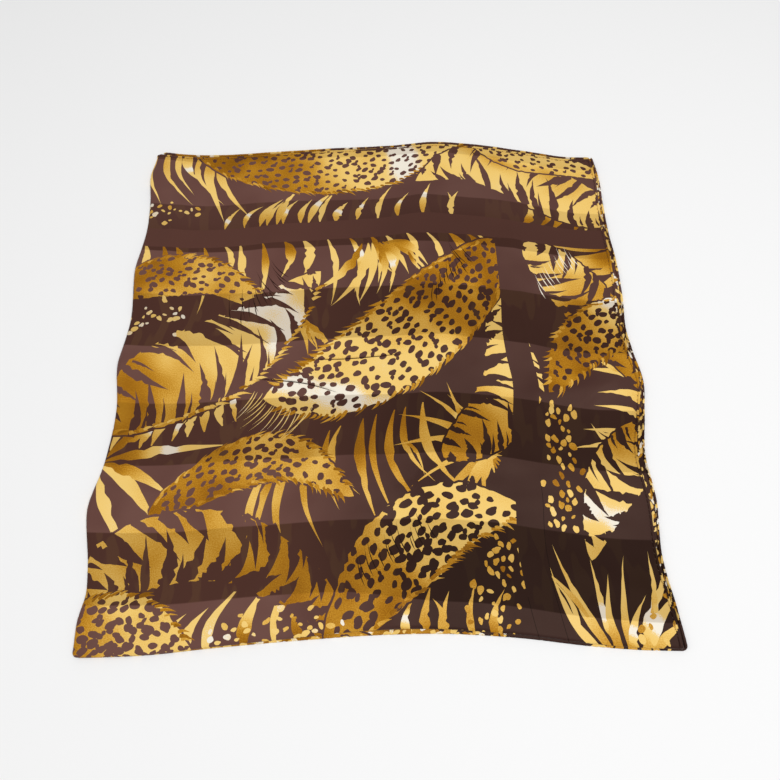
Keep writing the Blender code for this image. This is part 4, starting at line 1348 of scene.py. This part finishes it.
def slip_stitches(name, path, tree):
    """Stitches along a path, made into a plain mesh."""
    guide = bpy.data.meshes.new(name + "_path")
    guide.from_pydata((np.array(path) * MM).tolist(), [(k, k + 1) for k in range(len(path) - 1)], [])
    holder = bpy.data.objects.new(name + "_path", guide)
    bpy.context.scene.collection.objects.link(holder)
    made = holder.modifiers.new("stitches", "NODES")
    made.node_group = tree
    for item in tree.interface.items_tree:
        if item.item_type == "SOCKET" and item.name == "Thread":
            made[item.identifier] = thread
    bpy.context.view_layer.update()
    evaluated = holder.evaluated_get(bpy.context.evaluated_depsgraph_get())
    mesh = bpy.data.meshes.new_from_object(evaluated)
    mesh.name = name
    mesh.shade_smooth()
    stitches = bpy.data.objects.new(name, mesh)
    bpy.context.scene.collection.objects.link(stitches)
    bpy.data.objects.remove(holder)
    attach(stitches, "root")
    return stitches


stitching = stitch_tree()
right_seam = upper_right_path(right_places[8:-2]) + (-STITCH_IN, 0, STITCH_UP)
right_stitches = slip_stitches("right_hem_stitches", right_seam, stitching)
far_seam = upper_far_path(far_places[8:-2]) + (0, -STITCH_IN, STITCH_UP)
far_stitches = slip_stitches("far_hem_stitches", far_seam, stitching)

# ---- Floor, light and camera ------------------------------------------------------------------------------
# The packet lies on a plain pale floor under wide soft lights, and the camera looks down on it from the
# near side.

FLOOR_HALF = 3.0
FLOOR_DROP = 0.0003
ROOM_LIGHT = 0.42
floor_mesh = bpy.data.meshes.new("floor")
floor_ways = ((-1, -1), (1, -1), (1, 1), (-1, 1))
floor_corners = [(x * FLOOR_HALF, y * FLOOR_HALF, -FLOOR_DROP) for x, y in floor_ways]
floor_mesh.from_pydata(floor_corners, [], [(0, 1, 2, 3)])
floor = bpy.data.objects.new("floor", floor_mesh)
bpy.context.scene.collection.objects.link(floor)
paper = bpy.data.materials.new("pale_paper")
paper.use_nodes = True
paper_shader = paper.node_tree.nodes["Principled BSDF"]
paper_shader.inputs["Base Color"].default_value = (0.88, 0.88, 0.88, 1.0)
paper_shader.inputs["Roughness"].default_value = 0.9
paper_shader.inputs["Specular IOR Level"].default_value = 0.1
floor_mesh.materials.append(paper)

world = bpy.data.worlds.new("soft_room")
bpy.context.scene.world = world
world.use_nodes = True
room = world.node_tree.nodes["Background"]
room.inputs["Color"].default_value = (1.0, 1.0, 1.0, 1.0)
room.inputs["Strength"].default_value = ROOM_LIGHT


def soft_light(name, place, turn, size, power):
    """A wide square lamp. It is turned about X and then about Y, in degrees."""
    lamp = bpy.data.lights.new(name, "AREA")
    lamp.size = size
    lamp.energy = power
    item = bpy.data.objects.new(name, lamp)
    item.location = place
    item.rotation_euler = (math.radians(turn[0]), math.radians(turn[1]), 0)
    bpy.context.scene.collection.objects.link(item)


soft_light("light_near", (0.5, -0.3, 1.8), (5, 12), 1.2, 23)
soft_light("light_left", (-1.2, 0.1, 1.6), (0, -36), 1.0, 5)

SENSOR_WIDTH = 36
VIEW_PARTS = 780  # the view is so many parts wide, in which its focal length and shift are given
FOCAL_PARTS, SHIFT_PARTS = 600, -30
CAMERA_PLACE = (0.01066, -0.20204, 0.49464)
CAMERA_TILT = 22
camera_data = bpy.data.cameras.new("camera")
camera_data.sensor_width = SENSOR_WIDTH
camera_data.lens = SENSOR_WIDTH * FOCAL_PARTS / VIEW_PARTS
camera_data.shift_y = SHIFT_PARTS / VIEW_PARTS
camera_data.clip_start = 0.01
camera = bpy.data.objects.new("camera", camera_data)
camera.location = CAMERA_PLACE
camera.rotation_euler = (math.radians(CAMERA_TILT), 0, 0)
bpy.context.scene.collection.objects.link(camera)
bpy.context.scene.camera = camera
bpy.context.scene.view_settings.view_transform = "Standard"
